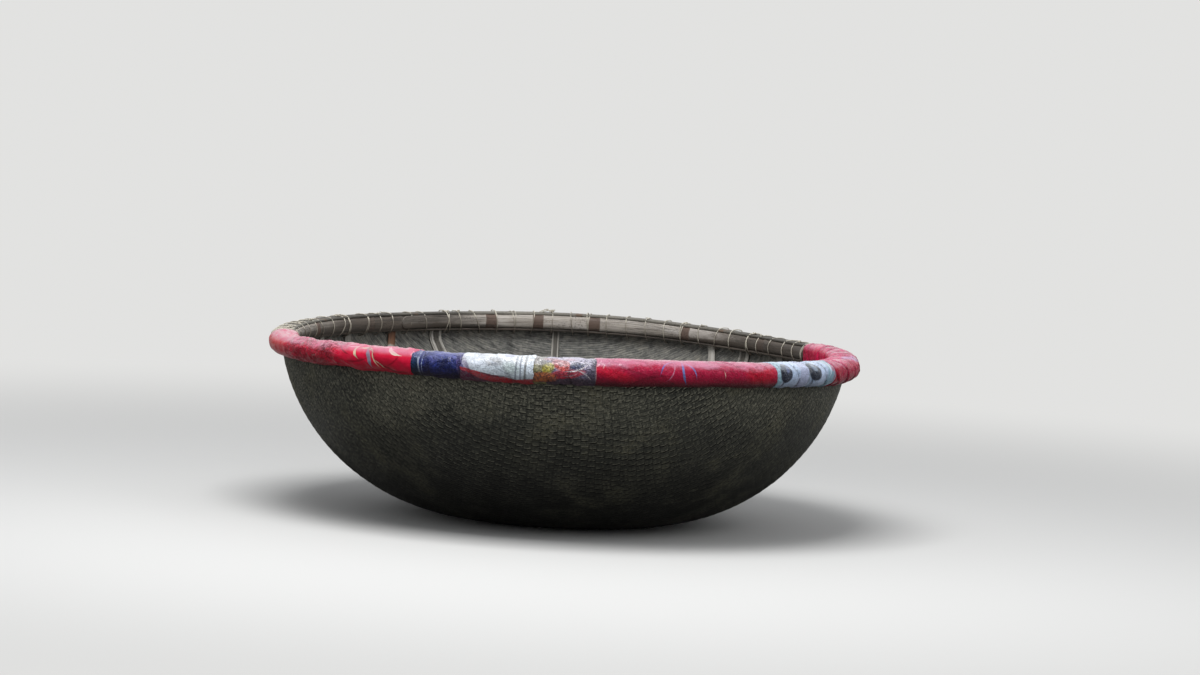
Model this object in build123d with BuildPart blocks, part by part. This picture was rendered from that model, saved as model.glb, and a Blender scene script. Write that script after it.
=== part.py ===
from build123d import *
from math import copysign, cos, degrees, radians, sin
import os

# A round basket boat: a woven bamboo bowl with a bundled bamboo rim, lashed with cord where it is bare and bound
# in strips of old banner round the rest, and a grid of split bamboo ribs inside. All sizes are in millimetres.
# The origin is the middle of the flat bottom, +Z is up, and azimuths turn from +X towards +Y.

# Overall
RIM_RADIUS = 1000.0  # over the banner wraps
HEIGHT = 618.0  # from the ground to the top of the wraps
GAP = 0.3  # clearance between pieces that lie on each other

# Hull
WALL = 12.0  # woven mat with its tar
TUCK_RADIUS = 80.0  # the turn just under the rim
TUCK_ANGLE = 14.0  # how far the wall leans in after that turn
TUCK_DROP = 6.0  # from the lashings down to the start of the turn

# Rim bundle
OUTER_HOOP_HEIGHT = 32.0
OUTER_HOOP_DEPTH = 44.0  # radial
OUTER_HOOP_EDGE = 30.0  # thickness at its upper and lower edge
INNER_HOOP_HEIGHT = 46.0
INNER_HOOP_DEPTH = 24.0
INNER_HOOP_EDGE = 10.0
LATH_HEIGHT = 8.0
LATH_DEPTH = 16.0
CAP_THICKNESS = 8.0
CAP_WIDTH = 52.0
CAP_ROUND = 3.0
NODE_RISE = 2.5  # how far a culm's joint stands proud
NODE_LENGTH = 12.0
SPLICE_AZIMUTH = 128.0
SPLICE_SLANT = 62.0
SPLICE_KERF = 1.5

# Ribs
RIB_THICKNESS = 9.0
RIB_TUCK = 28.0  # how far the rib ends reach up behind the lath and the inner hoop
JOGGLE_LEAN = 24.0  # where the upper ribs have come down onto the lower ones
CHANNEL_DEPTH = 5.0
CHANNEL_WIDTH = 12.0

# Lashings and wraps
LASH_THICKNESS = 5.0
LASH_WIDTH = 6.0
LASH_PITCH = 70.0  # along the rim
LASH_ROUND = 12.0
RIB_CLEAR = 12.0  # between a lashing and a rib, sideways
WRAP_THICKNESS = 5.0
WRAP_ROUND = 16.0  # towards the inside of the boat
WRAP_ROUND_TOP = 30.0  # outside, above
WRAP_ROUND_LOW = 21.0  # outside, below
WRAP_SEAM = 0.6  # between the ends of two wraps

# Wraps, by the azimuth where each starts and ends
# name, start, end
WRAPS = (
    ("wrap_magenta_end", -25.0, 27.0),
    ("wrap_crimson_left", 176.0, 240.5),
    ("wrap_navy", 240.5, 250.9),
    ("wrap_white", 250.9, 264.3),
    ("wrap_mixed", 264.3, 276.5),
    ("wrap_crimson_front", 276.5, 314.3),
    ("wrap_pale_blue", 314.3, 335.0),
)
BARE_START = 27.0
BARE_END = 176.0

# Ribs: the lower layer runs fore and aft, the upper layer crosswise, each between two places at the rim
# name, azimuth of one end, azimuth of the other end, width, channelled
LOWER_RIBS = (
    ("rib_fore_aft_1", 144.0, 216.0, 22.0, False),
    ("rib_fore_aft_2", 130.6, 229.4, 25.0, False),
    ("rib_fore_aft_3", 92.0, 268.0, 28.0, True),
    ("rib_fore_aft_4", 56.0, 304.0, 26.0, False),
    ("rib_fore_aft_5", 36.0, 324.0, 24.0, False),
)
UPPER_RIBS = (
    ("rib_cross_1", 233.0, 313.4, 26.0, False),
    ("rib_cross_2", 205.7, 334.3, 24.0, False),
    ("rib_cross_3", 180.0, 360.0, 28.0, True),
    ("rib_cross_4", 154.3, 25.7, 22.0, False),
    ("rib_cross_5", 119.4, 47.1, 26.0, False),
)

# Places that follow from the sizes above
bundle_top = HEIGHT - max(WRAP_THICKNESS, LASH_THICKNESS) - GAP
hoop_top = bundle_top - CAP_THICKNESS - GAP
hoop_outer = RIM_RADIUS - WRAP_THICKNESS - GAP
shell_outer = hoop_outer - OUTER_HOOP_DEPTH - GAP
shell_inner = shell_outer - WALL
inner_hoop_outer = shell_inner - GAP - RIB_THICKNESS - GAP
inner_hoop_inner = inner_hoop_outer - INNER_HOOP_DEPTH
lower_hoop_top = hoop_top - OUTER_HOOP_HEIGHT - GAP
lath_top = hoop_top - INNER_HOOP_HEIGHT - GAP
bundle_bottom = min(lower_hoop_top - OUTER_HOOP_HEIGHT, lath_top - LATH_HEIGHT)
tuck_top = bundle_bottom - GAP - LASH_THICKNESS - TUCK_DROP
rib_top = bundle_bottom + RIB_TUCK

# The bowl's section is one arc from the tuck to the flat bottom
tuck_centre = shell_outer - TUCK_RADIUS
tuck_end = tuck_top - TUCK_RADIUS * sin(radians(TUCK_ANGLE))
bowl_radius = tuck_end / (1 - sin(radians(TUCK_ANGLE)))
flat_radius = tuck_centre + (TUCK_RADIUS - bowl_radius) * cos(radians(TUCK_ANGLE))

lower_rib_inset = WALL + GAP
upper_rib_inset = lower_rib_inset + RIB_THICKNESS + GAP


def rim_plane(azimuth):
    """The upright plane through the axis at an azimuth: its x is the radius and its y is the height."""
    a = radians(azimuth)
    return Plane(origin=(0, 0, 0), x_dir=(cos(a), sin(a), 0), z_dir=(sin(a), -cos(a), 0))


def bowl_point(inset, lean):
    """The point of the bowl's section, inset from its outside, where the wall leans by that many degrees."""
    r = bowl_radius - inset
    return (flat_radius + r * cos(radians(lean)), bowl_radius - r * sin(radians(lean)))


def bowl_line(inset, top):
    """Draws the bowl's section, inset from its outside, from a height at the rim down to the axis."""
    side = shell_outer - inset
    Line((side, top), (side, tuck_top))
    CenterArc((tuck_centre, tuck_top), TUCK_RADIUS - inset, 0, -TUCK_ANGLE)
    CenterArc((flat_radius, bowl_radius), bowl_radius - inset, -TUCK_ANGLE, TUCK_ANGLE - 90)
    Line((flat_radius, inset), (0, inset))


def joggled_line(top_inset, inset, top):
    """Draws the section of an upper rib's face: at the rim it lies a layer further out than over the bottom."""
    side = shell_outer - top_inset
    Line((side, top), (side, tuck_top))
    Line((side, tuck_top), bowl_point(inset, JOGGLE_LEAN))
    CenterArc((flat_radius, bowl_radius), bowl_radius - inset, -JOGGLE_LEAN, JOGGLE_LEAN - 90)
    Line((flat_radius, inset), (0, inset))


def bowl_strip(back, face, middle, offset, width):
    """Makes a strip of one of the bowl's layers: what a slab cuts out between the layer's two sections.

    Each section is given by its inset at the rim and its inset over the bottom. The slab stands across the
    azimuth of its middle, at an offset from the axis.
    """
    with BuildPart() as strip:
        with BuildSketch(Plane.XZ):
            with BuildLine():
                for rim_inset, inset in (back, face):
                    if rim_inset == inset:
                        bowl_line(inset, rib_top)
                    else:
                        joggled_line(rim_inset, inset, rib_top)
                Line((shell_outer - back[0], rib_top), (shell_outer - face[0], rib_top))
                Line((0, back[1]), (0, face[1]))
            make_face()
        revolve(axis=Axis.Z)
        with Locations(Location((0, 0, HEIGHT / 2), (0, 0, middle))):
            with Locations((offset, 0)):
                Box(width, 3 * RIM_RADIUS, 2 * HEIGHT, mode=Mode.INTERSECT)
    return strip.part


def culm_outline(flat, edge, crown, bottom, top):
    """Draws a half culm's section: a flat back, two short edges and a round face."""
    Line((flat, bottom), (flat, top))
    Line((flat, top), (edge, top))
    ThreePointArc((edge, top), (crown, (top + bottom) / 2), (edge, bottom))
    Line((edge, bottom), (flat, bottom))


def half_culm_hoop(flat, edge, crown, bottom, top, nodes):
    """Makes a whole hoop of half culm, with a swelling at each azimuth in nodes."""
    rise = NODE_RISE if crown > flat else -NODE_RISE
    swell = degrees(NODE_LENGTH / crown)
    with BuildPart() as hoop:
        with BuildSketch(Plane.XZ):
            with BuildLine():
                culm_outline(flat, edge, crown, bottom, top)
            make_face()
        revolve(axis=Axis.Z)
        for azimuth in nodes:
            with BuildSketch(rim_plane(azimuth - swell / 2)):
                with BuildLine():
                    culm_outline(flat, edge, crown + rise, bottom, top)
                make_face()
            revolve(axis=Axis.Z, revolution_arc=swell)
    return hoop


def angle_between(a, b):
    return abs((a - b + 180) % 360 - 180)


def save(part, name):
    part.part.label = name
    export_step(part.part, "parts/" + name + ".step")


# The lashings stand at an even pitch along the bare rim, and one that would meet a rib's end moves beside it
bare_arc = BARE_END - BARE_START
lash_count = int(radians(bare_arc) * shell_outer / LASH_PITCH)
lash_step = bare_arc / lash_count
rib_ends = []
for name, start, end, width, channelled in LOWER_RIBS + UPPER_RIBS:
    slanted_width = width / sin(radians(angle_between(start, end) / 2))
    rib_room = degrees((slanted_width / 2 + RIB_CLEAR) / inner_hoop_outer)
    rib_ends += [(start, rib_room), (end, rib_room)]
lash_azimuths = []
for i in range(lash_count):
    azimuth = BARE_START + (i + 0.5) * lash_step
    for rib_end, room in rib_ends:
        if angle_between(azimuth, rib_end) < room:
            azimuth = rib_end + copysign(room, azimuth - rib_end)
    lash_azimuths.append(azimuth)

# Culm joints fall midway between two places of the lashings, numbered along the bare rim
UPPER_HOOP_NODES = (2, 9, 15, 22, 29)
LOWER_HOOP_NODES = (5, 12, 18, 25, 32)
INNER_HOOP_NODES = (3, 8, 13, 16, 19, 26, 31)
upper_nodes = [BARE_START + i * lash_step for i in UPPER_HOOP_NODES if i < lash_count]
lower_nodes = [BARE_START + i * lash_step for i in LOWER_HOOP_NODES if i < lash_count]
inner_nodes = [BARE_START + i * lash_step for i in INNER_HOOP_NODES if i < lash_count]

os.makedirs("parts", exist_ok=True)

# Woven hull, with a slot for each lashing
with BuildPart() as hull_shell:
    with BuildSketch(Plane.XZ):
        with BuildLine():
            bowl_line(0, hoop_top)
            bowl_line(WALL, hoop_top)
            Line((shell_outer, hoop_top), (shell_inner, hoop_top))
            Line((0, 0), (0, WALL))
        make_face()
    revolve(axis=Axis.Z)
    for azimuth in lash_azimuths:
        with BuildSketch(rim_plane(azimuth)):
            with Locations(((shell_outer + shell_inner) / 2, bundle_bottom - GAP - LASH_THICKNESS / 2)):
                Rectangle(WALL * 2, LASH_THICKNESS + 2 * GAP)
        extrude(amount=LASH_WIDTH / 2 + GAP, both=True, mode=Mode.SUBTRACT)
save(hull_shell, "hull_shell")

# Two half culms outside the mat, one on the other
shell_face = shell_outer + GAP
outer_edge = shell_face + OUTER_HOOP_EDGE
outer_hoop_upper = half_culm_hoop(
    shell_face, outer_edge, hoop_outer, hoop_top - OUTER_HOOP_HEIGHT, hoop_top, upper_nodes
)
save(outer_hoop_upper, "outer_hoop_upper")
outer_hoop_lower = half_culm_hoop(
    shell_face, outer_edge, hoop_outer, lower_hoop_top - OUTER_HOOP_HEIGHT, lower_hoop_top, lower_nodes
)
save(outer_hoop_lower, "outer_hoop_lower")

# One wider half culm inside, cut at its splice
inner_edge = inner_hoop_outer - INNER_HOOP_EDGE
inner_hoop = half_culm_hoop(
    inner_hoop_outer, inner_edge, inner_hoop_inner, hoop_top - INNER_HOOP_HEIGHT, hoop_top, inner_nodes
)
splice_place = Plane(
    origin=rim_plane(SPLICE_AZIMUTH).from_local_coords((inner_hoop_outer, hoop_top - INNER_HOOP_HEIGHT / 2, 0)),
    x_dir=rim_plane(SPLICE_AZIMUTH).z_dir,
    z_dir=rim_plane(SPLICE_AZIMUTH).x_dir,
)
with BuildPart() as inner_hoop_cut:
    add(inner_hoop.part)
    with BuildSketch(splice_place):
        Rectangle(SPLICE_KERF, INNER_HOOP_HEIGHT * 4, rotation=SPLICE_SLANT)
    extrude(amount=INNER_HOOP_DEPTH * 2, both=True, mode=Mode.SUBTRACT)
save(inner_hoop_cut, "inner_hoop")

# A thin lath under the inner hoop
with BuildPart() as inner_lath:
    with BuildSketch(Plane.XZ):
        with Locations((inner_hoop_outer - LATH_DEPTH / 2, lath_top - LATH_HEIGHT / 2)):
            RectangleRounded(LATH_DEPTH, LATH_HEIGHT, CAP_ROUND)
    revolve(axis=Axis.Z)
save(inner_lath, "inner_lath")

# Packing that fills the space above the rib ends, between the mat and the inner hoop
with BuildPart() as inner_packing:
    with BuildSketch(Plane.XZ):
        with Locations((shell_inner - GAP - RIB_THICKNESS / 2, (hoop_top + rib_top + GAP) / 2)):
            Rectangle(RIB_THICKNESS, hoop_top - rib_top - GAP)
    revolve(axis=Axis.Z)
save(inner_packing, "inner_packing")

# Flat strip over the mat's cut edge
cap_middle = (shell_outer + inner_hoop_outer) / 2
with BuildPart() as rim_cap:
    with BuildSketch(Plane.XZ):
        with Locations((cap_middle, bundle_top - CAP_THICKNESS / 2)):
            RectangleRounded(CAP_WIDTH, CAP_THICKNESS, CAP_ROUND)
    revolve(axis=Axis.Z)
save(rim_cap, "rim_cap")

# Lashings, each one a loop round the whole bundle and through the mat
loop_low = bundle_bottom - GAP
loop_inner = inner_hoop_inner - NODE_RISE
loop_outer = hoop_outer + WRAP_THICKNESS + GAP - LASH_THICKNESS
with BuildPart() as rim_lashings:
    for azimuth in lash_azimuths:
        with BuildSketch(rim_plane(azimuth)):
            with Locations(((loop_outer + loop_inner) / 2, (bundle_top + GAP + loop_low) / 2)):
                RectangleRounded(
                    loop_outer - loop_inner + 2 * LASH_THICKNESS,
                    bundle_top + GAP - loop_low + 2 * LASH_THICKNESS,
                    LASH_ROUND,
                )
                RectangleRounded(
                    loop_outer - loop_inner,
                    bundle_top + GAP - loop_low,
                    LASH_ROUND - LASH_THICKNESS,
                    mode=Mode.SUBTRACT,
                )
        extrude(amount=LASH_WIDTH / 2, both=True)
save(rim_lashings, "rim_lashings")

# Banner wraps: each a sleeve over the bundle, open below where the mat and the ribs pass
wrap_inner = inner_hoop_inner - GAP - WRAP_THICKNESS
wrap_low = bundle_bottom - GAP - WRAP_THICKNESS
seam = degrees(WRAP_SEAM / RIM_RADIUS)


def sleeve_outline(inset):
    """The wrapped bundle's outline, drawn in by an inset: rounder outside the boat than towards its inside."""
    with BuildSketch(mode=Mode.PRIVATE) as outline:
        with Locations(((RIM_RADIUS + wrap_inner) / 2, (HEIGHT + wrap_low) / 2)):
            Rectangle(RIM_RADIUS - wrap_inner - 2 * inset, HEIGHT - wrap_low - 2 * inset)
        inner_corners = outline.vertices().group_by(Axis.X)[0]
        outer_corners = outline.vertices().group_by(Axis.X)[-1].sort_by(Axis.Y)
        fillet(inner_corners, WRAP_ROUND - inset)
        fillet(outer_corners[-1], WRAP_ROUND_TOP - inset)
        fillet(outer_corners[0], WRAP_ROUND_LOW - inset)
    return outline.sketch


for name, start, end in WRAPS:
    with BuildPart() as wrap:
        with BuildSketch(rim_plane(start + seam / 2)):
            add(sleeve_outline(0))
            add(sleeve_outline(WRAP_THICKNESS), mode=Mode.SUBTRACT)
            with Locations(((shell_outer + inner_hoop_outer) / 2, wrap_low)):
                Rectangle(shell_outer - inner_hoop_outer + 4 * GAP, WRAP_THICKNESS * 3, mode=Mode.SUBTRACT)
        revolve(axis=Axis.Z, revolution_arc=end - start - seam)
    save(wrap, name)

# Ribs: strips of the bowl's own layers, some with the hollow of the culm along their inner face
# ribs, inset at the rim, inset over the bottom
LAYERS = ((LOWER_RIBS, lower_rib_inset, lower_rib_inset), (UPPER_RIBS, lower_rib_inset, upper_rib_inset))
for ribs, rim_inset, inset in LAYERS:
    back = (rim_inset, inset)
    face = (rim_inset + RIB_THICKNESS, inset + RIB_THICKNESS)
    groove = (face[0] - CHANNEL_DEPTH, face[1] - CHANNEL_DEPTH)
    for name, start, end, width, channelled in ribs:
        middle = (start + end) / 2
        offset = (inner_hoop_outer + RIB_THICKNESS / 2) * cos(radians((end - start) / 2))
        with BuildPart() as rib:
            add(bowl_strip(back, face, middle, offset, width))
            if channelled:
                add(bowl_strip(groove, face, middle, offset, CHANNEL_WIDTH), mode=Mode.SUBTRACT)
        save(rib, name)
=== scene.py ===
import math

import bpy
import numpy as np
from mathutils import Matrix, Vector


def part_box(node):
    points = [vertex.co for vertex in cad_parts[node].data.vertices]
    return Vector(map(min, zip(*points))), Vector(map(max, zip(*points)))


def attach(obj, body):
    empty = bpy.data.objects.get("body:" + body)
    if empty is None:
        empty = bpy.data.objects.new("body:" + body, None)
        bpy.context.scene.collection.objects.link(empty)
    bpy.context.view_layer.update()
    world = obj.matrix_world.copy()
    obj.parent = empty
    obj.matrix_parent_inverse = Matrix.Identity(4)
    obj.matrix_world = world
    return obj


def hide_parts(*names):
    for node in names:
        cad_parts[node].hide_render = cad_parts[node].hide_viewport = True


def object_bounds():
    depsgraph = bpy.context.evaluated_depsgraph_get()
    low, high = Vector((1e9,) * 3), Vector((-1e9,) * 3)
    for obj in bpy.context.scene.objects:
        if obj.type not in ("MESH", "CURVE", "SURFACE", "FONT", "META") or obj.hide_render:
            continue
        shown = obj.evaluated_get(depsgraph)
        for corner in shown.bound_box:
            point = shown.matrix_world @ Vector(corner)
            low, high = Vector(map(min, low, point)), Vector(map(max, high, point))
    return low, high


# The looks of a round basket boat: a tarred mat of wide and narrow bamboo strips pressed into a bowl, a rim
# of split bamboo lashed with cord where it is bare and bound in strips of old banner round the rest, and
# split bamboo ribs. Everything is in metres. Azimuths turn from +X towards +Y, and tables and constants give
# them in degrees.

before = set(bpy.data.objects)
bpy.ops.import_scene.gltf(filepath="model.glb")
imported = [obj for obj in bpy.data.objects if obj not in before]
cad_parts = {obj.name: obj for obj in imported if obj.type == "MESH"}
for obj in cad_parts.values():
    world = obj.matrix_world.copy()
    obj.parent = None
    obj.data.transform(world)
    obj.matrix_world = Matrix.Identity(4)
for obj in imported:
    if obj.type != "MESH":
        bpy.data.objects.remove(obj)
cad_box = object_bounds()

# Places taken from the frame
hull_low, hull_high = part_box("hull_shell")
outer_low, outer_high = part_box("outer_hoop_lower")
inner_low, inner_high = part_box("inner_hoop")
RIM_RADIUS = cad_box[1][0]
RIM_TOP = cad_box[1][2]
SHELL_RADIUS = hull_high[0]
HOOP_TOP = hull_high[2]
HOOP_RADIUS = outer_high[0]
BUNDLE_LOW = outer_low[2]
INNER_HOOP_RADIUS = inner_high[0]
INNER_HOOP_LOW = inner_low[2]
CAP_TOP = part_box("rim_cap")[1][2]

# Sizes shared with the solids
GAP = 0.0003
WALL = 0.012
TUCK_RADIUS = 0.080
TUCK_ANGLE = math.radians(14)
TUCK_DROP = 0.0113
OUTER_HOOP_HEIGHT = 0.032
OUTER_HOOP_EDGE = 0.030
INNER_HOOP_DEPTH = 0.024
LATH_HEIGHT = 0.008
LATH_DEPTH = 0.016
CAP_WIDTH = 0.052
CAP_THICKNESS = 0.008
RIB_THICKNESS = 0.009
RIB_TUCK = 0.028
RIB_CLEAR = 0.012
LASH_PITCH = 0.070
BARE_START = 27.0
BARE_END = 176.0
SOLID_WRAP = 0.0053

# Where the photograph's wraps start and end, 8 and 4.5 degrees off their places in the solids
WRAPS_FROM = 184.0
WRAPS_UNTIL = 22.5

# The wrapped bundle's middle, half its width and height, and its cloth. Under it the hoops draw in towards
# the middle by a share of the way, and by a further share for each metre that its top lies lower
WRAP_CENTRE_R = (RIM_RADIUS + INNER_HOOP_RADIUS - INNER_HOOP_DEPTH - SOLID_WRAP) / 2
WRAP_CENTRE_Z = (RIM_TOP + BUNDLE_LOW - SOLID_WRAP) / 2
WRAP_HALF_R = RIM_RADIUS - WRAP_CENTRE_R
WRAP_HALF_Z = RIM_TOP - WRAP_CENTRE_Z
CLOTH_THICKNESS = 0.0020
UNDER_WRAPS = 0.17
UNDER_LOWERED = 14.0

# The bowl's section: flat bottom, one long arc, a small turn and the upright edge
TUCK_TOP = BUNDLE_LOW - TUCK_DROP
TUCK_CENTRE = SHELL_RADIUS - TUCK_RADIUS
BOWL_RADIUS = (TUCK_TOP - TUCK_RADIUS * math.sin(TUCK_ANGLE)) / (1 - math.sin(TUCK_ANGLE))
FLAT_RADIUS = TUCK_CENTRE + (TUCK_RADIUS - BOWL_RADIUS) * math.cos(TUCK_ANGLE)
ARC_END = math.pi / 2 - TUCK_ANGLE
MAT_RADIUS = FLAT_RADIUS + BOWL_RADIUS * ARC_END + TUCK_RADIUS * TUCK_ANGLE + HOOP_TOP - TUCK_TOP

# The rim isn't quite level: millimetres over its plane, by azimuth, and how many waves round it carry them
RIM_LEVEL = (
    (0, -8), (15, -9), (27, -10), (35, -10), (45, -8), (51, -6), (62, 6), (74, 13), (83, 13), (90, 11),
    (103, 8), (116, 4), (130, 0), (142, -7), (158, -11), (170, -14), (180, -15), (190, -15), (200, -13),
    (213, -10), (222, -8), (231, -6), (247, 0), (258, 3), (271, 7), (287, 10), (297, 8), (312, 4), (324, -2),
    (332, -6), (345, -8),
)
RIM_WAVES = 5

# Weave: wide warps run along Y and narrow wefts along X; outside, a warp lies over two wefts and under one.
# The relief is that of the outside, and the inside has a share of it
WARP_WIDTH = 0.030
WEFT_WIDTH = 0.0083
RELIEF = 0.0032
INSIDE_SHARE = 0.26

# Camera, matched to the photograph
CAMERA_DISTANCE = 18.0
CAMERA_ELEVATION = math.radians(4.73)
CAMERA_ROLL = math.radians(3.0)
CAMERA_LENS = 159.0
SENSOR_WIDTH = 36.0
PHOTO_WIDTH = 1200
PHOTO_HEIGHT = 675
RIM_CENTRE_HEIGHT = 0.575
RIM_CENTRE_PIXEL = (564, 349)


def value_noise(x, y, seed):
    """Smooth noise from 0 to 1: random values on a lattice of whole numbers, a smoothstep between them."""
    table = np.random.default_rng(seed).random((256, 256))
    i = np.floor(x).astype(int)
    j = np.floor(y).astype(int)
    fx = x - i
    fy = y - j
    fx = fx * fx * (3 - 2 * fx)
    fy = fy * fy * (3 - 2 * fy)
    low = table[i % 256, j % 256] * (1 - fx) + table[(i + 1) % 256, j % 256] * fx
    high = table[i % 256, (j + 1) % 256] * (1 - fx) + table[(i + 1) % 256, (j + 1) % 256] * fx
    return low * (1 - fy) + high * fy


def smooth_step(low, high, x):
    """Zero up to low, one from high, and a smooth cubic between."""
    t = np.clip((x - low) / (high - low), 0, 1)
    return t * t * (3 - 2 * t)


def run_length(line):
    """Distance run along a line of points, from its first point."""
    return np.concatenate([[0], np.cumsum(np.linalg.norm(np.diff(line, axis=0), axis=1))])


def waves(azimuth):
    """Cosines and sines of the azimuth's multiples, up to the number of waves."""
    turns = np.arange(RIM_WAVES + 1)
    angle = np.asarray(azimuth)[:, None] * turns[None, :]
    return np.concatenate([np.cos(angle), np.sin(angle[:, 1:])], axis=1)


level_azimuth, level = np.array(RIM_LEVEL).T
LEVEL_SHARES = np.linalg.lstsq(waves(np.radians(level_azimuth)), level / 1000, rcond=None)[0]


def settle(points):
    """Every point rises or sinks with the rim's level at its azimuth, by its share of the height squared."""
    points = np.array(points, dtype=float)
    share = (points[:, 2] / RIM_TOP) ** 2
    points[:, 2] += waves(np.arctan2(points[:, 1], points[:, 0])) @ LEVEL_SHARES * share
    return points


def bowl(s, inset=0.0):
    """Radius and height on the bowl's section at a distance s along its outside from the middle of the
    bottom, moved inwards along the surface's normal by inset."""
    s1 = FLAT_RADIUS + BOWL_RADIUS * ARC_END
    s2 = s1 + TUCK_RADIUS * TUCK_ANGLE
    turn = np.where(s < s1, (s - FLAT_RADIUS) / BOWL_RADIUS, ARC_END + (s - s1) / TUCK_RADIUS)
    turn = np.clip(turn, 0, math.pi / 2)
    radius = np.where(
        s < s1, FLAT_RADIUS + BOWL_RADIUS * np.sin(turn), TUCK_CENTRE + TUCK_RADIUS * np.sin(turn)
    )
    height = np.where(s < s1, BOWL_RADIUS * (1 - np.cos(turn)), TUCK_TOP - TUCK_RADIUS * np.cos(turn))
    radius = np.where(s < FLAT_RADIUS, s, radius)
    height = np.where(s < FLAT_RADIUS, 0.0, height) + np.maximum(s - s2, 0)
    return radius - inset * np.sin(turn), height + inset * np.cos(turn)


def bowl_height(radius, inset):
    """Height of the bowl's inner layer at a radius, for a layer that lies inset from the outside: flat
    bottom, then the long arc about its centre, then the small turn."""
    arc = BOWL_RADIUS - inset
    tuck = TUCK_RADIUS - inset
    over = np.clip(radius - FLAT_RADIUS, 0, arc * math.sin(ARC_END))
    on_arc = BOWL_RADIUS - np.sqrt(arc * arc - over * over)
    into = np.clip(radius - TUCK_CENTRE, 0, tuck)
    on_tuck = TUCK_TOP - np.sqrt(np.maximum(tuck * tuck - into * into, 0))
    return np.where(radius - FLAT_RADIUS > arc * math.sin(ARC_END), on_tuck, on_arc)


def make_piece(
    name, points, parts, uv_name, materials, material_index=None, flat_parts=0, normals=None
):
    """Puts arrays into a mesh object: points (n, 3), and parts, each a pair of faces (m, 3 or 4) and a
    coordinate pair for each corner of each face. The last flat_parts of the parts are shaded flat, which
    keeps edges crisp. Normals, where they are given, are one for each corner, and zero where the mesh's own
    is kept."""
    mesh = bpy.data.meshes.new(name)
    corners = np.concatenate([faces.ravel() for faces, _ in parts]).astype(np.int32)
    coordinates = np.concatenate([uv.reshape(-1, 2) for _, uv in parts]).astype(np.float32)
    totals = np.concatenate([np.full(len(faces), faces.shape[1]) for faces, _ in parts]).astype(np.int32)
    starts = np.concatenate([[0], np.cumsum(totals)[:-1]]).astype(np.int32)
    smooth = [np.full(len(faces), k < len(parts) - flat_parts) for k, (faces, _) in enumerate(parts)]
    mesh.vertices.add(len(points))
    mesh.vertices.foreach_set("co", settle(points).astype(np.float32).ravel())
    mesh.loops.add(len(corners))
    mesh.loops.foreach_set("vertex_index", corners)
    mesh.polygons.add(len(totals))
    mesh.polygons.foreach_set("loop_start", starts)
    mesh.polygons.foreach_set("loop_total", totals)
    mesh.update(calc_edges=True)
    mesh.polygons.foreach_set("use_smooth", np.concatenate(smooth))
    mesh.uv_layers.new(name=uv_name).data.foreach_set("uv", coordinates.ravel())
    for material in materials:
        mesh.materials.append(material)
    if material_index is not None:
        mesh.polygons.foreach_set("material_index", np.asarray(material_index, dtype=np.int32))
    mesh.update()
    if normals is not None:
        mesh.normals_split_custom_set(normals)
    piece = bpy.data.objects.new(name, mesh)
    bpy.context.scene.collection.objects.link(piece)
    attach(piece, "root")
    return piece


def add_numbers(piece, name, values):
    """Keeps one number per point with the piece, for its material."""
    layer = piece.data.attributes.new(name, "FLOAT", "POINT")
    layer.data.foreach_set("value", np.asarray(values, dtype=np.float32).ravel())


def grid_quads(along, around, rows, columns):
    """Quads of a grid of rows by columns points with a coordinate pair for each corner. The grid closes on
    itself in a direction whose list of coordinates is one longer than its points."""
    r, c = np.meshgrid(np.arange(len(along) - 1), np.arange(len(around) - 1), indexing="ij")
    r = np.stack([r, r + 1, r + 1, r], axis=-1).reshape(-1, 4)
    c = np.stack([c, c, c + 1, c + 1], axis=-1).reshape(-1, 4)
    return (r % rows) * columns + c % columns, np.stack([along[r], around[c]], axis=-1)


def fan(centre, ring, closed_way):
    """Triangles from a centre point to a ring of points, facing one way or the other."""
    after = np.roll(ring, -1)
    pair = (ring, after) if closed_way else (after, ring)
    faces = np.stack([np.full(len(ring), centre), *pair], axis=1)
    return faces, np.zeros((len(ring), 3, 2))


class Value:
    """A shader socket in a Python expression: each operation adds one Math node."""

    def __init__(self, finish, socket):
        self.finish = finish
        self.socket = socket

    def __add__(self, other):
        return self.finish.math("ADD", self, other)

    def __radd__(self, other):
        return self.finish.math("ADD", other, self)

    def __sub__(self, other):
        return self.finish.math("SUBTRACT", self, other)

    def __rsub__(self, other):
        return self.finish.math("SUBTRACT", other, self)

    def __mul__(self, other):
        return self.finish.math("MULTIPLY", self, other)

    def __rmul__(self, other):
        return self.finish.math("MULTIPLY", other, self)

    def __truediv__(self, other):
        return self.finish.math("DIVIDE", self, other)

    def __mod__(self, other):
        return self.finish.math("FLOORED_MODULO", self, other)


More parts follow.
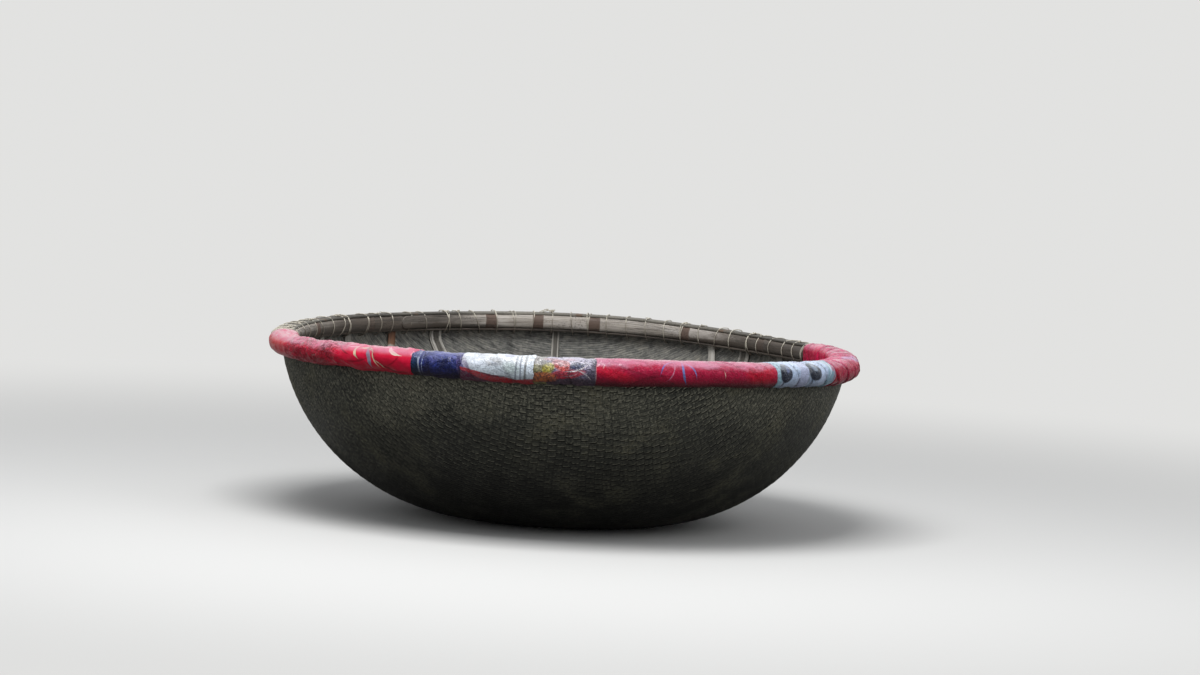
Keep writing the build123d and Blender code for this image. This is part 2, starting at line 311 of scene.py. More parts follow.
class Finish:
    """A material under construction: its node tree, and short ways to add nodes to it."""

    def __init__(self, name, roughness=0.6, **constants):
        self.material = bpy.data.materials.new(name)
        self.material.use_nodes = True
        self.tree = self.material.node_tree
        self.shader = self.tree.nodes["Principled BSDF"]
        self.shader.inputs["Roughness"].default_value = roughness
        for socket, value in constants.items():
            self.shader.inputs[socket.replace("_", " ")].default_value = value

    def put(self, socket, value):
        """Links a value to a socket, or sets it there."""
        if isinstance(value, Value):
            self.tree.links.new(value.socket, socket)
        elif isinstance(value, tuple) and len(value) == 3 and len(socket.default_value) == 4:
            socket.default_value = (*value, 1.0)
        else:
            socket.default_value = value

    def node(self, kind, settings=None, output=0, **inputs):
        """Adds a node: its settings first, then values or links for its sockets, by name or as in_0."""
        node = self.tree.nodes.new(kind)
        for key, value in (settings or {}).items():
            if key == "stops":
                elements = node.color_ramp.elements
                elements[0].position, elements[-1].position = value[0][0], value[-1][0]
                for position, _ in value[1:-1]:
                    elements.new(position)
                for element, (_, colour) in zip(elements, value):
                    element.color = (*colour, 1.0)
            else:
                setattr(node, key, value)
        for key, value in inputs.items():
            place = int(key[3:]) if key.startswith("in_") else key.replace("_", " ")
            self.put(node.inputs[place], value)
        return Value(self, node.outputs[output])

    def math(self, operation, a, b=0.0, c=0.0):
        return self.node("ShaderNodeMath", {"operation": operation}, in_0=a, in_1=b, in_2=c)

    def absolute(self, a):
        return self.math("ABSOLUTE", a)

    def floor(self, a):
        return self.math("FLOOR", a)

    def less(self, a, b):
        return self.math("LESS_THAN", a, b)

    def smaller(self, a, b):
        return self.math("MINIMUM", a, b)

    def larger(self, a, b):
        return self.math("MAXIMUM", a, b)

    def between(self, value, low, high, out_low=0.0, out_high=1.0):
        """Smooth passage of a value from low to high onto out_low to out_high."""
        span = {"in_1": low, "in_2": high, "in_3": out_low, "in_4": out_high}
        return self.node("ShaderNodeMapRange", {"interpolation_type": "SMOOTHSTEP"}, in_0=value, **span)

    def place(self):
        """Object coordinates."""
        return self.node("ShaderNodeTexCoord", output=3)

    def uv(self, name):
        return self.node("ShaderNodeUVMap", {"uv_map": name})

    def number(self, name):
        """A number that the piece keeps at each of its points."""
        return self.node("ShaderNodeAttribute", {"attribute_name": name}, output=2)

    def parts_of(self, vector):
        node = self.tree.nodes.new("ShaderNodeSeparateXYZ")
        self.tree.links.new(vector.socket, node.inputs[0])
        return [Value(self, out) for out in node.outputs]

    def vector(self, x, y, z=0.0):
        return self.node("ShaderNodeCombineXYZ", X=x, Y=y, Z=z)

    def noise(self, vector, scale, detail=3.0, roughness=0.55):
        return self.node(
            "ShaderNodeTexNoise", {"noise_dimensions": "3D"},
            Vector=vector, Scale=scale, Detail=detail, Roughness=roughness,
        )

    def chance(self, vector):
        """One random number for each whole-number place."""
        return self.node("ShaderNodeTexWhiteNoise", {"noise_dimensions": "3D"}, Vector=vector)

    def mix(self, factor, first, second):
        """A colour between two."""
        return self.node(
            "ShaderNodeMix", {"data_type": "RGBA"}, output=2, in_0=factor, in_6=first, in_7=second
        )

    def ramp(self, value, *stops):
        return self.node("ShaderNodeValToRGB", {"stops": stops}, in_0=value)

    def bump(self, height, distance, strength=1.0):
        return self.node("ShaderNodeBump", Height=height, Distance=distance, Strength=strength)

    def done(self, colour, roughness=None, normal=None):
        """Connects what varies to the shader and gives back the material."""
        self.put(self.shader.inputs["Base Color"], colour)
        if roughness is not None:
            self.put(self.shader.inputs["Roughness"], roughness)
        if normal is not None:
            self.put(self.shader.inputs["Normal"], normal)
        return self.material


# Finishes

# What lies over the mat's own three tones outside: a painted shadow in the gap under a lip, the lip's pale
# wear with a painted highlight, loose fibre, dry mud, and painted shade at the foot
GAP_SHADOW = (0.0014, 0.0014, 0.0013)
LIP_WEAR_AND_HIGHLIGHT = (0.330, 0.320, 0.250)
FIBRE = (0.270, 0.262, 0.200)
DRY_MUD = (0.140, 0.132, 0.088)
FOOT_SHADE = (0.0050, 0.0048, 0.0048)


def tarred_mat(name, inside):
    """Woven strips under tar. The strips' own coordinates count warps and wefts, so the shader works out
    which strip is on top at a point, how far that point is from the strip's sides and from where it dives,
    and streaks along it, and it paints shade into the grooves between the strips. Inside, grit in broken
    dashes and dust lie over the rows, and painted light makes the wall paler towards both sides. Outside, a
    wide strip's lower end stands out: its lip is worn pale and carries a painted highlight, and a painted
    shadow lies in the gap below it. Towards -X the rows fade to loose fibres, in an olive patch and on the
    side beyond it, which painted shade makes darker. Flecks and dry mud lie over it all, and painted shade
    darkens the foot."""
    f = Finish(name, roughness=0.7, Specular_IOR_Level=0.30 if inside else 0.08)
    across_warp, across_weft, _ = f.parts_of(f.uv("strips"))
    warp = f.floor(across_warp + 0.5)
    weft = f.floor(across_weft + 0.5)
    warp_side = f.absolute(across_warp - warp)
    weft_side = f.absolute(across_weft - weft)
    run = (across_weft - warp + 0.5) % 3.0
    warp_up = f.less(run, 2.0)
    weft_up = 1.0 - warp_up
    place = f.place()
    side, depth, height = f.parts_of(place)
    patch = f.noise(place, 2.6, 4.0)
    stain = f.noise(place, 8.0, 5.0, 0.65)
    lump = f.noise(place, 70.0, 3.0)
    along_warp = f.noise(f.vector(across_warp * 7.0, across_weft * 0.30, 7.0), 1.0, 2.0)
    along_weft = f.noise(f.vector(across_warp * 0.6, across_weft * 2.0), 1.0, 2.0)
    if inside:
        # crest is painted shade between the strips' crowns, which darkens the tone a little below.
        crest = f.between(weft_side, 0.22, 0.5, 1.0, 0.0) * weft_up * 0.85
        crest = f.larger(crest, f.between(weft_side, 0.15, 0.5, 1.0, 0.0) * warp_up)
        warp_end = f.between(f.absolute(run - 2.5), 0.25, 0.5, 1.0, 0.0) * weft_up
        crest = f.smaller(crest, 1.0 - warp_end * f.between(warp_side, 0.38, 0.5) * 0.8)
        fibre = along_weft * warp_up + along_warp * weft_up
        own = f.chance(f.vector(weft, f.floor(across_warp * 0.7 + weft * 0.37), 5.0))
        low, mid, high = (0.034, 0.034, 0.032), (0.120, 0.120, 0.112), (0.280, 0.268, 0.236)
        grit = (0.300, 0.280, 0.228)
        dash = f.noise(f.vector(across_warp * 0.55, across_weft * 0.75, 13.0), 1.0, 4.0, 0.65)
        # Painted light: the inner wall is paler away from its middle, towards both sides.
        clear = f.between(f.absolute(side + 0.10), 0.10, 0.55)
        tone = fibre * 0.14 + own * 0.14 + dash * 1.50 + patch * 0.46 + lump * 0.60 + clear * 0.11 - 1.02
        colour = f.ramp(tone * (crest * 0.14 + 0.86), (0.06, low), (0.38, mid), (0.78, high))
        dust = f.between(stain, 0.50, 0.72) * (0.25 + own * 0.6)
        colour = f.mix(dust * 0.55, colour, grit)
        fleck = f.noise(f.vector(across_warp * 2.2, across_weft * 1.1, 3.0), 1.0, 3.0)
        fleck = f.between(fleck, 0.56, 0.66) * crest
        colour = f.mix(fleck * 0.22, colour, grit)
        relief = crest * 0.8 + dash * 0.8 + fibre * 0.15 + lump * 0.16
        rough = f.between(patch, 0.35, 0.7, 0.56, 0.84)
        return f.done(colour, rough, f.bump(relief, 0.0013, 0.9))
    # to_lip counts down the hull on the near and the far side alike, so the painted light below falls the
    # same way all round.
    far_side = f.between(depth, -0.25, 0.25)
    to_lip = run + far_side * (2.0 - run * 2.0)
    past_lip = run + far_side * (5.0 - run * 2.0)
    rounded = f.between(warp_side, 0.38, 0.50, 1.0, 0.35)
    bow = f.smaller(warp_side, 0.42) * 0.45
    to_lip = to_lip + bow
    past_lip = past_lip + bow
    # crest is painted light and shade of the relief, put into the colour below: a float is paler towards its
    # lower end, which tilts up, darker at its sides, and a weft is dark just under a lip.
    body = f.between(to_lip, 0.0, 1.1, 0.34, 0.66) * rounded * warp_up
    cross = f.between(past_lip, 2.10, 2.60, 0.0, 0.62) * f.between(weft_side, 0.34, 0.50, 1.0, 0.2) * weft_up
    crest = body + cross
    lip = f.between(to_lip, 1.45, 1.84) * f.between(to_lip, 2.04, 1.96)
    lip = lip * f.between(warp_side, 0.32, 0.48, 1.0, 0.0)
    fibre = along_warp * warp_up + along_weft * weft_up
    own = f.chance(f.vector(warp, f.floor((across_weft - warp + 0.5) * 0.3333), 5.0))
    low, mid, high = (0.0060, 0.0060, 0.0055), (0.044, 0.045, 0.038), (0.125, 0.122, 0.096)
    crushed = f.noise(f.vector(across_warp * 2.6, across_weft * 1.1, 15.0), 1.0, 4.0, 0.65)
    ragged = patch * 0.8 + stain * 0.4 - 0.6
    olive = f.between(side + ragged, -0.66, -0.40) * f.between(side + ragged, 0.05, -0.25, 0.75, 1.0)
    olive = olive * f.between(height + ragged * 0.3, 0.34, 0.50)
    # shade is painted shade on the hull's -X side, which makes the tone below darker.
    shade = f.between(side + ragged, -0.36, -0.80)
    fibre = fibre * (1.0 + shade * 0.5)
    frayed = f.larger(shade, olive * f.between(side + ragged, 0.05, -0.25, 0.50, 1.0))
    tone = fibre * (frayed * 0.50 + 0.50) + lump * (frayed * 0.40 + 0.40) + crushed * (frayed * 0.50 + 0.60)
    tone = tone + own * 0.10 + patch * 0.62 + olive * 0.22 - shade * 0.24 - frayed * 0.66 - 0.74
    colour = f.ramp(tone * (crest * 0.70 + 0.30) + crest * 0.03, (0.03, low), (0.30, mid), (0.62, high))
    # Painted shadow: the gap just under each lip is darkened, in patches where the rows show clearly.
    gap = f.between(past_lip, 2.0, 2.12) * f.between(past_lip, 2.80, 2.40)
    lips_showing = f.noise(f.vector(side * 5.0, depth * 5.0, height * 9.0), 1.0, 3.0)
    lips_showing = f.between(lips_showing, 0.60, 0.44, 0.35, 1.0)
    clear = (1.0 - frayed * 0.6) * lips_showing
    gap = gap * clear
    colour = f.mix(gap * f.between(crushed, 0.70, 0.48, 0.30, 1.0), colour, GAP_SHADOW)
    # The lip is worn pale and carries a painted highlight where it tilts up towards the light.
    lip_wear_and_highlight = lip * f.between(own * 0.12 + lump * 0.8 + crushed * 0.8, 0.64, 0.90) * clear
    colour = f.mix(lip_wear_and_highlight * 0.92, colour, LIP_WEAR_AND_HIGHLIGHT)
    fleck = f.noise(f.vector(across_warp * 3.0, across_weft * 0.9, 19.0), 1.0, 3.0, 0.65)
    fleck = f.between(fleck, 0.55, 0.63)
    colour = f.mix(fleck * (0.20 + olive * 0.60 + shade * 0.28), colour, FIBRE)
    dust = f.between(stain, 0.46, 0.70) * f.between(patch, 0.42, 0.58) * f.between(crushed, 0.40, 0.60)
    colour = f.mix(dust * 0.60, colour, DRY_MUD)
    # Painted shade: the hull darkens towards its foot.
    foot_shade = f.between(height, 0.47, 0.10) * f.between(stain, 0.62, 0.40, 0.60, 1.0)
    colour = f.mix(foot_shade * 0.82, colour, FOOT_SHADE)
    relief = crest * 0.8 + lip * 0.5 + fibre * 0.35 + lump * 0.25 + crushed * 0.5
    rough = f.between(patch, 0.35, 0.7, 0.52, 0.80)
    return f.done(colour, rough, f.bump(relief, 0.0022, 0.9))


def bamboo(name, dark, mid, light, joint, streak=90.0, foot=0.62):
    """Weathered culm: fine streaks along the piece, broad grey patches, cracks, spots of mould, and brown
    bands at the joints. How near a joint is and how dark a point is, from dirt and on the ribs also from
    painted shade, are numbers kept with the piece, and foot is the strength of the painted shade on the
    rim's low side."""
    f = Finish(name, roughness=0.68)
    along, around, _ = f.parts_of(f.uv("grain"))
    fine = f.noise(f.vector(along * 7.0, around * streak * 8.0), 1.0, 3.0)
    broad = f.noise(f.vector(along * 4.0, around * 20.0, 4.0), 1.0, 4.0)
    blotch = f.noise(f.vector(along * 26.0, around * 60.0, 6.0), 1.0, 4.0, 0.7)
    crack = f.noise(f.vector(along * 2.6, around * 260.0, 9.0), 1.0, 2.0)
    crack = f.between(f.absolute(crack - 0.5), 0.0, 0.030, 1.0, 0.0)
    crack = crack * f.between(f.noise(f.vector(along * 3.0, around * 30.0, 2.0), 1.0), 0.44, 0.56)
    band = f.number("band")
    grime = f.number("grime")
    mould = f.between(f.noise(f.vector(along * 160.0, around * 230.0, 1.0), 1.0, 2.0), 0.55, 0.64)
    mould = mould * f.between(f.noise(f.vector(along * 9.0, around * 16.0, 5.0), 1.0, 2.0), 0.46, 0.60)
    tone = fine * 0.80 + broad * 0.80 + blotch * 0.34 - 0.47
    colour = f.ramp(tone, (0.12, dark), (0.46, mid), (0.78, light))
    colour = f.mix(f.between(blotch, 0.56, 0.75) * 0.40, colour, dark)
    blackened = tuple(part * 0.30 for part in dark)
    browned = tuple(part * 1.6 for part in dark)
    soiled = f.ramp(tone, (0.25, blackened), (0.78, browned))
    _, _, height = f.parts_of(f.place())
    # Painted shade darkens the low side of the rim, in the same dark colour as grime.
    low_side_shade = f.between(height, INNER_HOOP_LOW + 0.022, INNER_HOOP_LOW + 0.004) * foot
    colour = f.mix(f.between(grime + low_side_shade + (blotch - 0.5) * 0.8, 0.0, 0.95), colour, soiled)
    ring = f.between(band + (blotch - 0.5) * 0.7, 0.30, 0.75) * f.between(grime, 0.45, 1.0, 1.0, 0.25)
    paler = tuple(part * 1.7 for part in joint)
    colour = f.mix(ring * 0.95, colour, f.mix(f.between(fine, 0.40, 0.65), joint, paler))
    colour = f.mix(f.larger(crack * 0.85, mould * 0.70), colour, (0.018, 0.015, 0.012))
    height = fine * 0.7 + broad * 0.3 + blotch * 0.25 - crack * 1.2 + band * 0.2
    rough = f.between(broad, 0.3, 0.7, 0.55, 0.82)
    return f.done(colour, rough, f.bump(height, 0.0008, 0.8))


def twisted_cord(name):
    """Dull twisted nylon: slanted strand shadows, dirt in patches."""
    f = Finish(name, roughness=0.7)
    along, around, _ = f.parts_of(f.uv("cord"))
    phase = (along * 160.0 + around * 3.0) % 1.0
    strand = f.absolute(phase - 0.5) * 2.0
    dirt = f.noise(f.place(), 35.0, 4.0)
    colour = f.mix(f.between(dirt, 0.40, 0.78), (0.70, 0.66, 0.56), (0.42, 0.38, 0.30))
    # The grime number darkens the cord: dirt, and painted shade under the inner hoop.
    colour = f.mix(f.number("grime"), colour, (0.13, 0.105, 0.085))
    colour = f.mix(f.between(strand, 0.55, 1.0) * 0.45, colour, (0.17, 0.15, 0.11))
    return f.done(colour, None, f.bump(1.0 - strand * strand, 0.0006, 0.8))


def turned(along, around, at, slant):
    """A point's place as seen from a mark's own middle: how far along its slanted line, and how far off."""
    x = along - at[0]
    y = around - at[1]
    cos_a, sin_a = math.cos(math.radians(slant)), math.sin(math.radians(slant))
    return x * cos_a + y * sin_a, y * cos_a - x * sin_a


def stroke(f, along, around, ragged, at, length, width, slant, bend=0.0):
    """A brush stroke: one inside a bent bar that tapers to both ends."""
    far, off = turned(along, around, at, slant)
    off = off - far * far * bend
    taper = f.between(f.absolute(far), length * 0.15, length * 0.5, 1.0, 0.12)
    edge = f.absolute(off) - taper * width * 0.5 + ragged * 0.0016
    return f.between(edge, -0.0008, 0.0006, 1.0, 0.0) * f.less(f.absolute(far), length * 0.5)


def oval(f, along, around, ragged, at, length, width, slant, soft=0.10):
    """A round patch with a ragged edge."""
    far, off = turned(along, around, at, slant)
    far = far / (length * 0.5)
    off = off / (width * 0.5)
    return f.between(f.math("SQRT", far * far + off * off) + ragged * 0.22, 1.0 - soft, 1.0 + soft, 1.0, 0.0)


def past(f, along, around, ragged, at, slant, soft=0.0012):
    """All that lies on one side of a slanted line."""
    _, off = turned(along, around, at, slant)
    return f.between(off + ragged * 0.005, -soft, soft)


def stripe(f, along, around, ragged, at, width, slant, soft=0.0010):
    """A slanted stripe right across the cloth."""
    _, off = turned(along, around, at, slant)
    return f.between(f.absolute(off) + ragged * 0.002, width * 0.5 - soft, width * 0.5 + soft, 1.0, 0.0)


def banner_cloth(
    name, base, shade, pale_and_sheen, print_marks=(), wear=0.30, gloss=0.34, top_sheen=0.5, crumpled=0.8, low=0.60,
    speckle=0.0, crushed_from=-1.0, crushed_to=2.0,
):
    """Coated banner cloth: a base colour with printed marks one over the other, each a mask, its numbers, a
    colour and a strength. Painted shade makes it darker at the edges of its laps and ends and under the
    bundle, and a painted sheen makes it paler on top. Where it is crushed it has scuffs, and creases that
    are each a line of painted shade with a painted highlight beside it. Outside the lengths crushed_from
    and crushed_to it is nearly smooth. Specks and grime come last, and only the top has a gloss."""
    f = Finish(name, roughness=gloss, Specular_IOR_Level=0.07, Coat_Roughness=0.14)
    cloth = f.uv("cloth")
    along, around, _ = f.parts_of(cloth)
    fold = f.number("fold")
    top = f.number("top")
    zone = f.between(along, crushed_from - 0.06, crushed_from + 0.06)
    zone = zone * f.between(along, crushed_to + 0.06, crushed_to - 0.06)
    ragged = f.noise(cloth, 55.0, 3.0) - 0.5
    cloud = f.noise(f.vector(along * 6.0, around * 13.0), 1.0, 4.0)
    colour = f.mix(f.between(cloud, 0.38, 0.66) * 0.8, base, shade)
    for mask, numbers, tint, strength in print_marks:
        colour = f.mix(mask(f, along, around, ragged, *numbers) * strength, colour, tint)
    rub = f.noise(f.vector(along * 30.0, around * 60.0, 5.0), 1.0, 5.0, 0.7)
    crinkle = f.noise(f.vector(along * 34.0 + around * 26.0, around * 50.0 - along * 12.0, 8.0), 1.0, 3.0)
    small = f.noise(f.vector(along * 62.0 - around * 34.0, around * 84.0 + along * 22.0, 2.0), 1.0, 2.0)
    crushed = f.between(f.noise(f.vector(along * 5.0, around * 8.0, 11.0), 1.0, 3.0), 0.38, 0.54) * crumpled
    crushed = crushed * f.between(zone, 0.0, 1.0, 0.05, 1.0)
    crease = f.between(f.absolute(small - 0.48), 0.0, 0.050, 1.0, 0.0)
    crest = f.between(f.absolute(small - 0.57), 0.0, 0.040, 1.0, 0.0)
    ridge = f.between(f.absolute(crinkle - 0.46), 0.0, 0.045, 1.0, 0.0)
    brow = f.between(f.absolute(crinkle - 0.55), 0.0, 0.045, 1.0, 0.0)
    dark = tuple(part * 0.30 for part in shade)
    rough_edge = f.between(zone, 0.0, 1.0, 0.12, 1.0)
    # Painted sheen: the top of the bundle turns to the pale sheen colour, broken by noise.
    shine = f.between(top + ((cloud - 0.5) * 0.9 + ragged * 0.5) * rough_edge, 0.36, 0.76)
    colour = f.mix(shine * f.between(cloud, 0.30, 0.65, 0.80, 1.0) * top_sheen, colour, pale_and_sheen)
    worn = f.between(rub, 0.62, 0.76) * f.between(top, -0.6, 0.4) * f.between(zone, 0.0, 1.0, 0.1, 1.0) * wear
    colour = f.mix(worn, colour, pale_and_sheen)
    some = f.between(cloud, 0.36, 0.52) * f.between(zone, 0.0, 1.0, 0.18, 1.0) * crumpled
    # Painted shade in a dark line along each crease.
    colour = f.mix(f.larger(crease * crushed, ridge * some * 0.50) * 0.85, colour, dark)
    # A painted highlight beside each crease, stronger towards the top.
    light = f.larger(crest * crushed, brow * some * 0.50) * f.between(top, -0.3, 0.7)
    colour = f.mix(light * 0.50, colour, pale_and_sheen)
    if speckle:
        speck = f.noise(f.vector(along * 150.0, around * 170.0, 4.0), 1.0, 2.0)
        patchy = f.between(f.noise(f.vector(along * 16.0, around * 24.0, 6.0), 1.0, 2.0), 0.42, 0.56)
        colour = f.mix(f.between(speck, 0.56, 0.64) * patchy * speckle, colour, (0.055, 0.050, 0.065))
        colour = f.mix(f.between(speck, 0.44, 0.38) * patchy * speckle * 0.25, colour, pale_and_sheen)
    grime = f.noise(f.place(), 20.0, 5.0, 0.65)
    # Darker with grime, with painted shade under the bundle by low, and with painted shadow at the edges of
    # laps and ends.
    dirt = f.between(grime, 0.56, 0.78) * 0.10 + f.between(top, 0.15, -0.85) * low + fold * 0.60
    colour = f.mix(f.smaller(dirt, 0.88), colour, (0.012, 0.007, 0.007))
    height = crinkle * 1.4 - crease * crushed * 0.9 - ridge * crumpled * 0.5 + crest * crushed * 0.5
    height = height * rough_edge + cloud * 0.8
    rough = f.between(rub, 0.4, 0.7, gloss, gloss + 0.25)
    f.put(f.shader.inputs["Coat Weight"], f.between(top, 0.20, 0.90) * f.between(rub, 0.66, 0.40) * 0.90)
    return f.done(colour, rough, f.bump(height, 0.0016 + 0.0014 * crumpled, 0.9))


mat_outside = tarred_mat("mat_outside", inside=False)
mat_inside = tarred_mat("mat_inside", inside=True)
hoop_bamboo = bamboo(
    "hoop_bamboo", (0.075, 0.060, 0.048), (0.360, 0.322, 0.280), (0.720, 0.680, 0.640), (0.070, 0.042, 0.030)
)
cap_bamboo = bamboo(
    "cap_bamboo", (0.060, 0.054, 0.044), (0.170, 0.158, 0.132), (0.320, 0.300, 0.260), (0.090, 0.058, 0.036)
)
rib_bamboo = bamboo(
    "rib_bamboo", (0.085, 0.078, 0.066), (0.430, 0.410, 0.370), (0.680, 0.660, 0.620), (0.120, 0.048, 0.020),
    streak=60.0, foot=0.0,
)
cord = twisted_cord("cord")


# Hull

# Height of the relief over one repeat of three wefts, in half wefts from the middle of a warp's first weft:
# beside the warp's left edge, at its middle and beside its right edge, for the outside, where a strip stands
# out at the end that is nearer the bottom, and for the inside
OUTSIDE_RELIEF = (
    (0.50, 0.66, 0.78, 0.02, 0.30, 0.28),
    (0.62, 0.84, 1.00, 0.00, 0.36, 0.36),
    (0.50, 0.66, 0.78, 0.02, 0.30, 0.28),
)
INSIDE_RELIEF = (
    (1.00, 0.52, 0.70, 0.26, 0.52, 0.34),
    (0.96, 0.44, 0.96, 0.32, 0.64, 0.32),
    (0.70, 0.40, 1.00, 0.38, 0.52, 0.26),
)
WARP_PLACES = (-0.45, 0.0, 0.45)
SLABS = (-43, -17, 0, 17, 44)


def make_hull():
    """The mat is a flat disc of weave pressed into the bowl: a point (u, v) of the mat goes to the azimuth of
    (u, v), at the distance hypot(u, v) along the bowl's section. Its strips meander a little. Four closed
    slabs, parted in the grooves between two warps, each with an outside and an inside."""
    outside_relief, inside_relief = np.array(OUTSIDE_RELIEF), np.array(INSIDE_RELIEF)
    reach = int(MAT_RADIUS / WEFT_WIDTH * 2) + 3
    half_weft = np.arange(-reach, reach + 1)
    for slab, (first, last) in enumerate(zip(SLABS[:-1], SLABS[1:])):
        warp = np.repeat(np.arange(first, last), 3)
        side = np.tile(np.arange(3), last - first)
        warp, side = np.concatenate([[first - 1] * 2, warp, [last]]), np.concatenate([[1, 2], side, [0]])
        a, b = np.meshgrid(warp + np.array(WARP_PLACES)[side], half_weft / 2, indexing="ij")
        phase = np.mod(half_weft[None, :] - 2 * warp[:, None], 6)
        inner_relief = inside_relief[side[:, None], phase]
        u, v = a * WARP_WIDTH, b * WEFT_WIDTH
        far_side = smooth_step(-0.25, 0.25, v)
        outer_relief = outside_relief[side[:, None], phase] * (1 - far_side)
        outer_relief = outer_relief + outside_relief[side[:, None], np.mod(2 - phase, 6)] * far_side
        drift_u = (
            (value_noise(u * 6 + 50, v * 6 + 50, 7) - 0.5) * 0.014
            + (value_noise(u * 22 + 70, v * 16, 8) - 0.5) * 0.004
        )
        drift_v = (
            (value_noise(u * 6 + 90, v * 6 + 30, 9) - 0.5) * 0.012
            + (value_noise(u * 33, v * 12 + 40, 6) - 0.5) * 0.004
        )
        u, v = u + drift_u, v + drift_v
        s = np.hypot(u, v)
        keep_in = np.minimum(1.0, MAT_RADIUS / np.maximum(s, 1e-9))
        within = (s < MAT_RADIUS).ravel()
        u, v, s = u * keep_in, v * keep_in, np.minimum(s, MAT_RADIUS)
        fade = smooth_step(0.0, 0.010, MAT_RADIUS - s)
        azimuth = np.arctan2(v, u)
        uneven = np.maximum(value_noise(u * 9 + 40, v * 9 + 40, 3) - 0.5, 0) * 0.0016
        lift = 0.65 + 0.35 * value_noise(a * 2.7 + 40, b * 0.67 + 60, 4)
        layers, slopes = [], []
        for inset, way in (
            ((1 - outer_relief * fade * lift) * RELIEF + uneven, -1.0),
            (WALL - (1 - inner_relief * fade * lift) * RELIEF * INSIDE_SHARE - uneven, 1.0),
        ):
            radius, height = bowl(s, inset)
            layer = np.stack([radius * np.cos(azimuth), radius * np.sin(azimuth), height], axis=-1)
            layers.append(layer.reshape(-1, 3))
            layer = settle(layer.reshape(-1, 3)).reshape(layer.shape)
            slope = way * np.cross(np.gradient(layer, axis=0), np.gradient(layer, axis=1))
            size = np.linalg.norm(slope, axis=-1, keepdims=True)
            slopes.append(np.where(size > 1e-7, slope / np.maximum(size, 1e-7), 0.0).reshape(-1, 3))
        quads, _ = grid_quads(np.arange(len(warp)), half_weft, *a.shape)
        inside_slab = quads.reshape(len(warp) - 1, -1)[1:-1].reshape(-1, 4)
        quads = inside_slab[within[inside_slab].any(axis=1)]
        used, quads = np.unique(quads, return_inverse=True)
        quads = quads.reshape(-1, 4)
        count = len(used)
        edges = np.concatenate([quads[:, [0, 1]], quads[:, [1, 2]], quads[:, [2, 3]], quads[:, [3, 0]]])
        _, place, uses = np.unique(np.sort(edges, axis=1), axis=0, return_index=True, return_counts=True)
        border = edges[place[uses == 1]]
        walls = np.stack([border[:, 0], border[:, 1], border[:, 1] + count, border[:, 0] + count], axis=1)
        uv = np.stack([a, b], axis=-1).reshape(-1, 2)[used]
        uv = np.concatenate([uv, uv])
        slope = np.concatenate([slopes[0][used], slopes[1][used]])
        corners = slope[np.concatenate([quads[:, ::-1].ravel(), (quads + count).ravel()])]
        corners = np.concatenate([corners, np.zeros((walls.size, 3))])
        piece = make_piece(
            "hull_mat_%d" % (slab + 1),
            np.concatenate([layers[0][used], layers[1][used]]),
            [(faces, uv[faces]) for faces in (quads[:, ::-1], quads + count, walls)],
            "strips",
            (mat_outside, mat_inside),
            np.concatenate([np.zeros(len(quads)), np.ones(len(quads)), np.zeros(len(walls))]),
            flat_parts=1,
            normals=corners,
        )
        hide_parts("hull_shell")


make_hull()


# Rim hoops

# Radius at which lengths along the hoops are measured, and the one for the inner hoop's tip
HOOP_RUN_RADIUS = 0.92
TIP_RUN_RADIUS = 0.91

# How dirty the bare rim is, by azimuth
GRIME = (
    (22, 0.90), (44, 0.85), (60, 0.45), (70, 0.04), (82, 0.02), (90, 0.20), (96, 0.06), (103, 0.02),
    (108, 0.25), (113, 0.50), (120, 0.78), (129, 0.66), (131, 0.96), (146, 0.90), (156, 0.60), (164, 0.42),
    (174, 0.25), (184, 0.20),
)

# How much lower the wrapped bundle's top is, by azimuth
LOWERED = (
    (0, 0.0), (180, 0.0020), (191, 0.0075), (208, 0.0090),
    (216, 0.0060), (226, 0.0015), (236, 0.0), (360, 0.0),
)


def rim_azimuths(fine, coarse=4.0):
    """Azimuths round the whole rim: close together where it is bare, wide apart where wraps hide it."""
    bare = np.arange(WRAPS_UNTIL - 4, WRAPS_FROM + 4, fine)
    hidden = np.arange(WRAPS_FROM + 4, WRAPS_UNTIL - 4 + 360, coarse)
    return np.concatenate([bare, hidden])


def joints_at(*numbers):
    """Azimuths of culm joints, midway between two places of the lashings, numbered along the bare rim."""
    step = (BARE_END - BARE_START) / int(math.radians(BARE_END - BARE_START) * SHELL_RADIUS / LASH_PITCH)
    return [BARE_START + number * step for number in numbers]


def half_culm(flat, edge, crown, low, high, points=19):
    """Section of a half culm as closed rings of (radius, height), one a row: a round face and a flat back."""
    flat, edge, crown, low, high = np.broadcast_arrays(flat, edge, crown, low, high)
    turn = np.linspace(0, math.pi, points)
    face_r = edge + (crown - edge) * np.sin(turn) ** 0.8
    face_z = (low + high) / 2 - (high - low) / 2 * np.cos(turn)
    back_r = flat + np.zeros(3)
    back_z = (low + high) / 2 + (high - low) / 2 * np.array([1, 0, -1])
    return np.concatenate([face_r, back_r], axis=1), np.concatenate([face_z, back_z], axis=1)


def rounded_bar(r_low, r_high, z_low, z_high, round_off, corner=5):
    """Section of a flat strip as a closed ring of (radius, height): four quarter circles and its sides."""
    turn = np.linspace(0, math.pi / 2, corner)
    turn = (turn[None, :] + np.arange(4)[:, None] * math.pi / 2).ravel()
    near_r, far_r = r_low + round_off, r_high - round_off
    near_z, far_z = z_low + round_off, z_high - round_off
    middle_r = np.repeat([far_r, near_r, near_r, far_r], corner)
    middle_z = np.repeat([far_z, far_z, near_z, near_z], corner)
    return middle_r + round_off * np.cos(turn), middle_z + round_off * np.sin(turn)


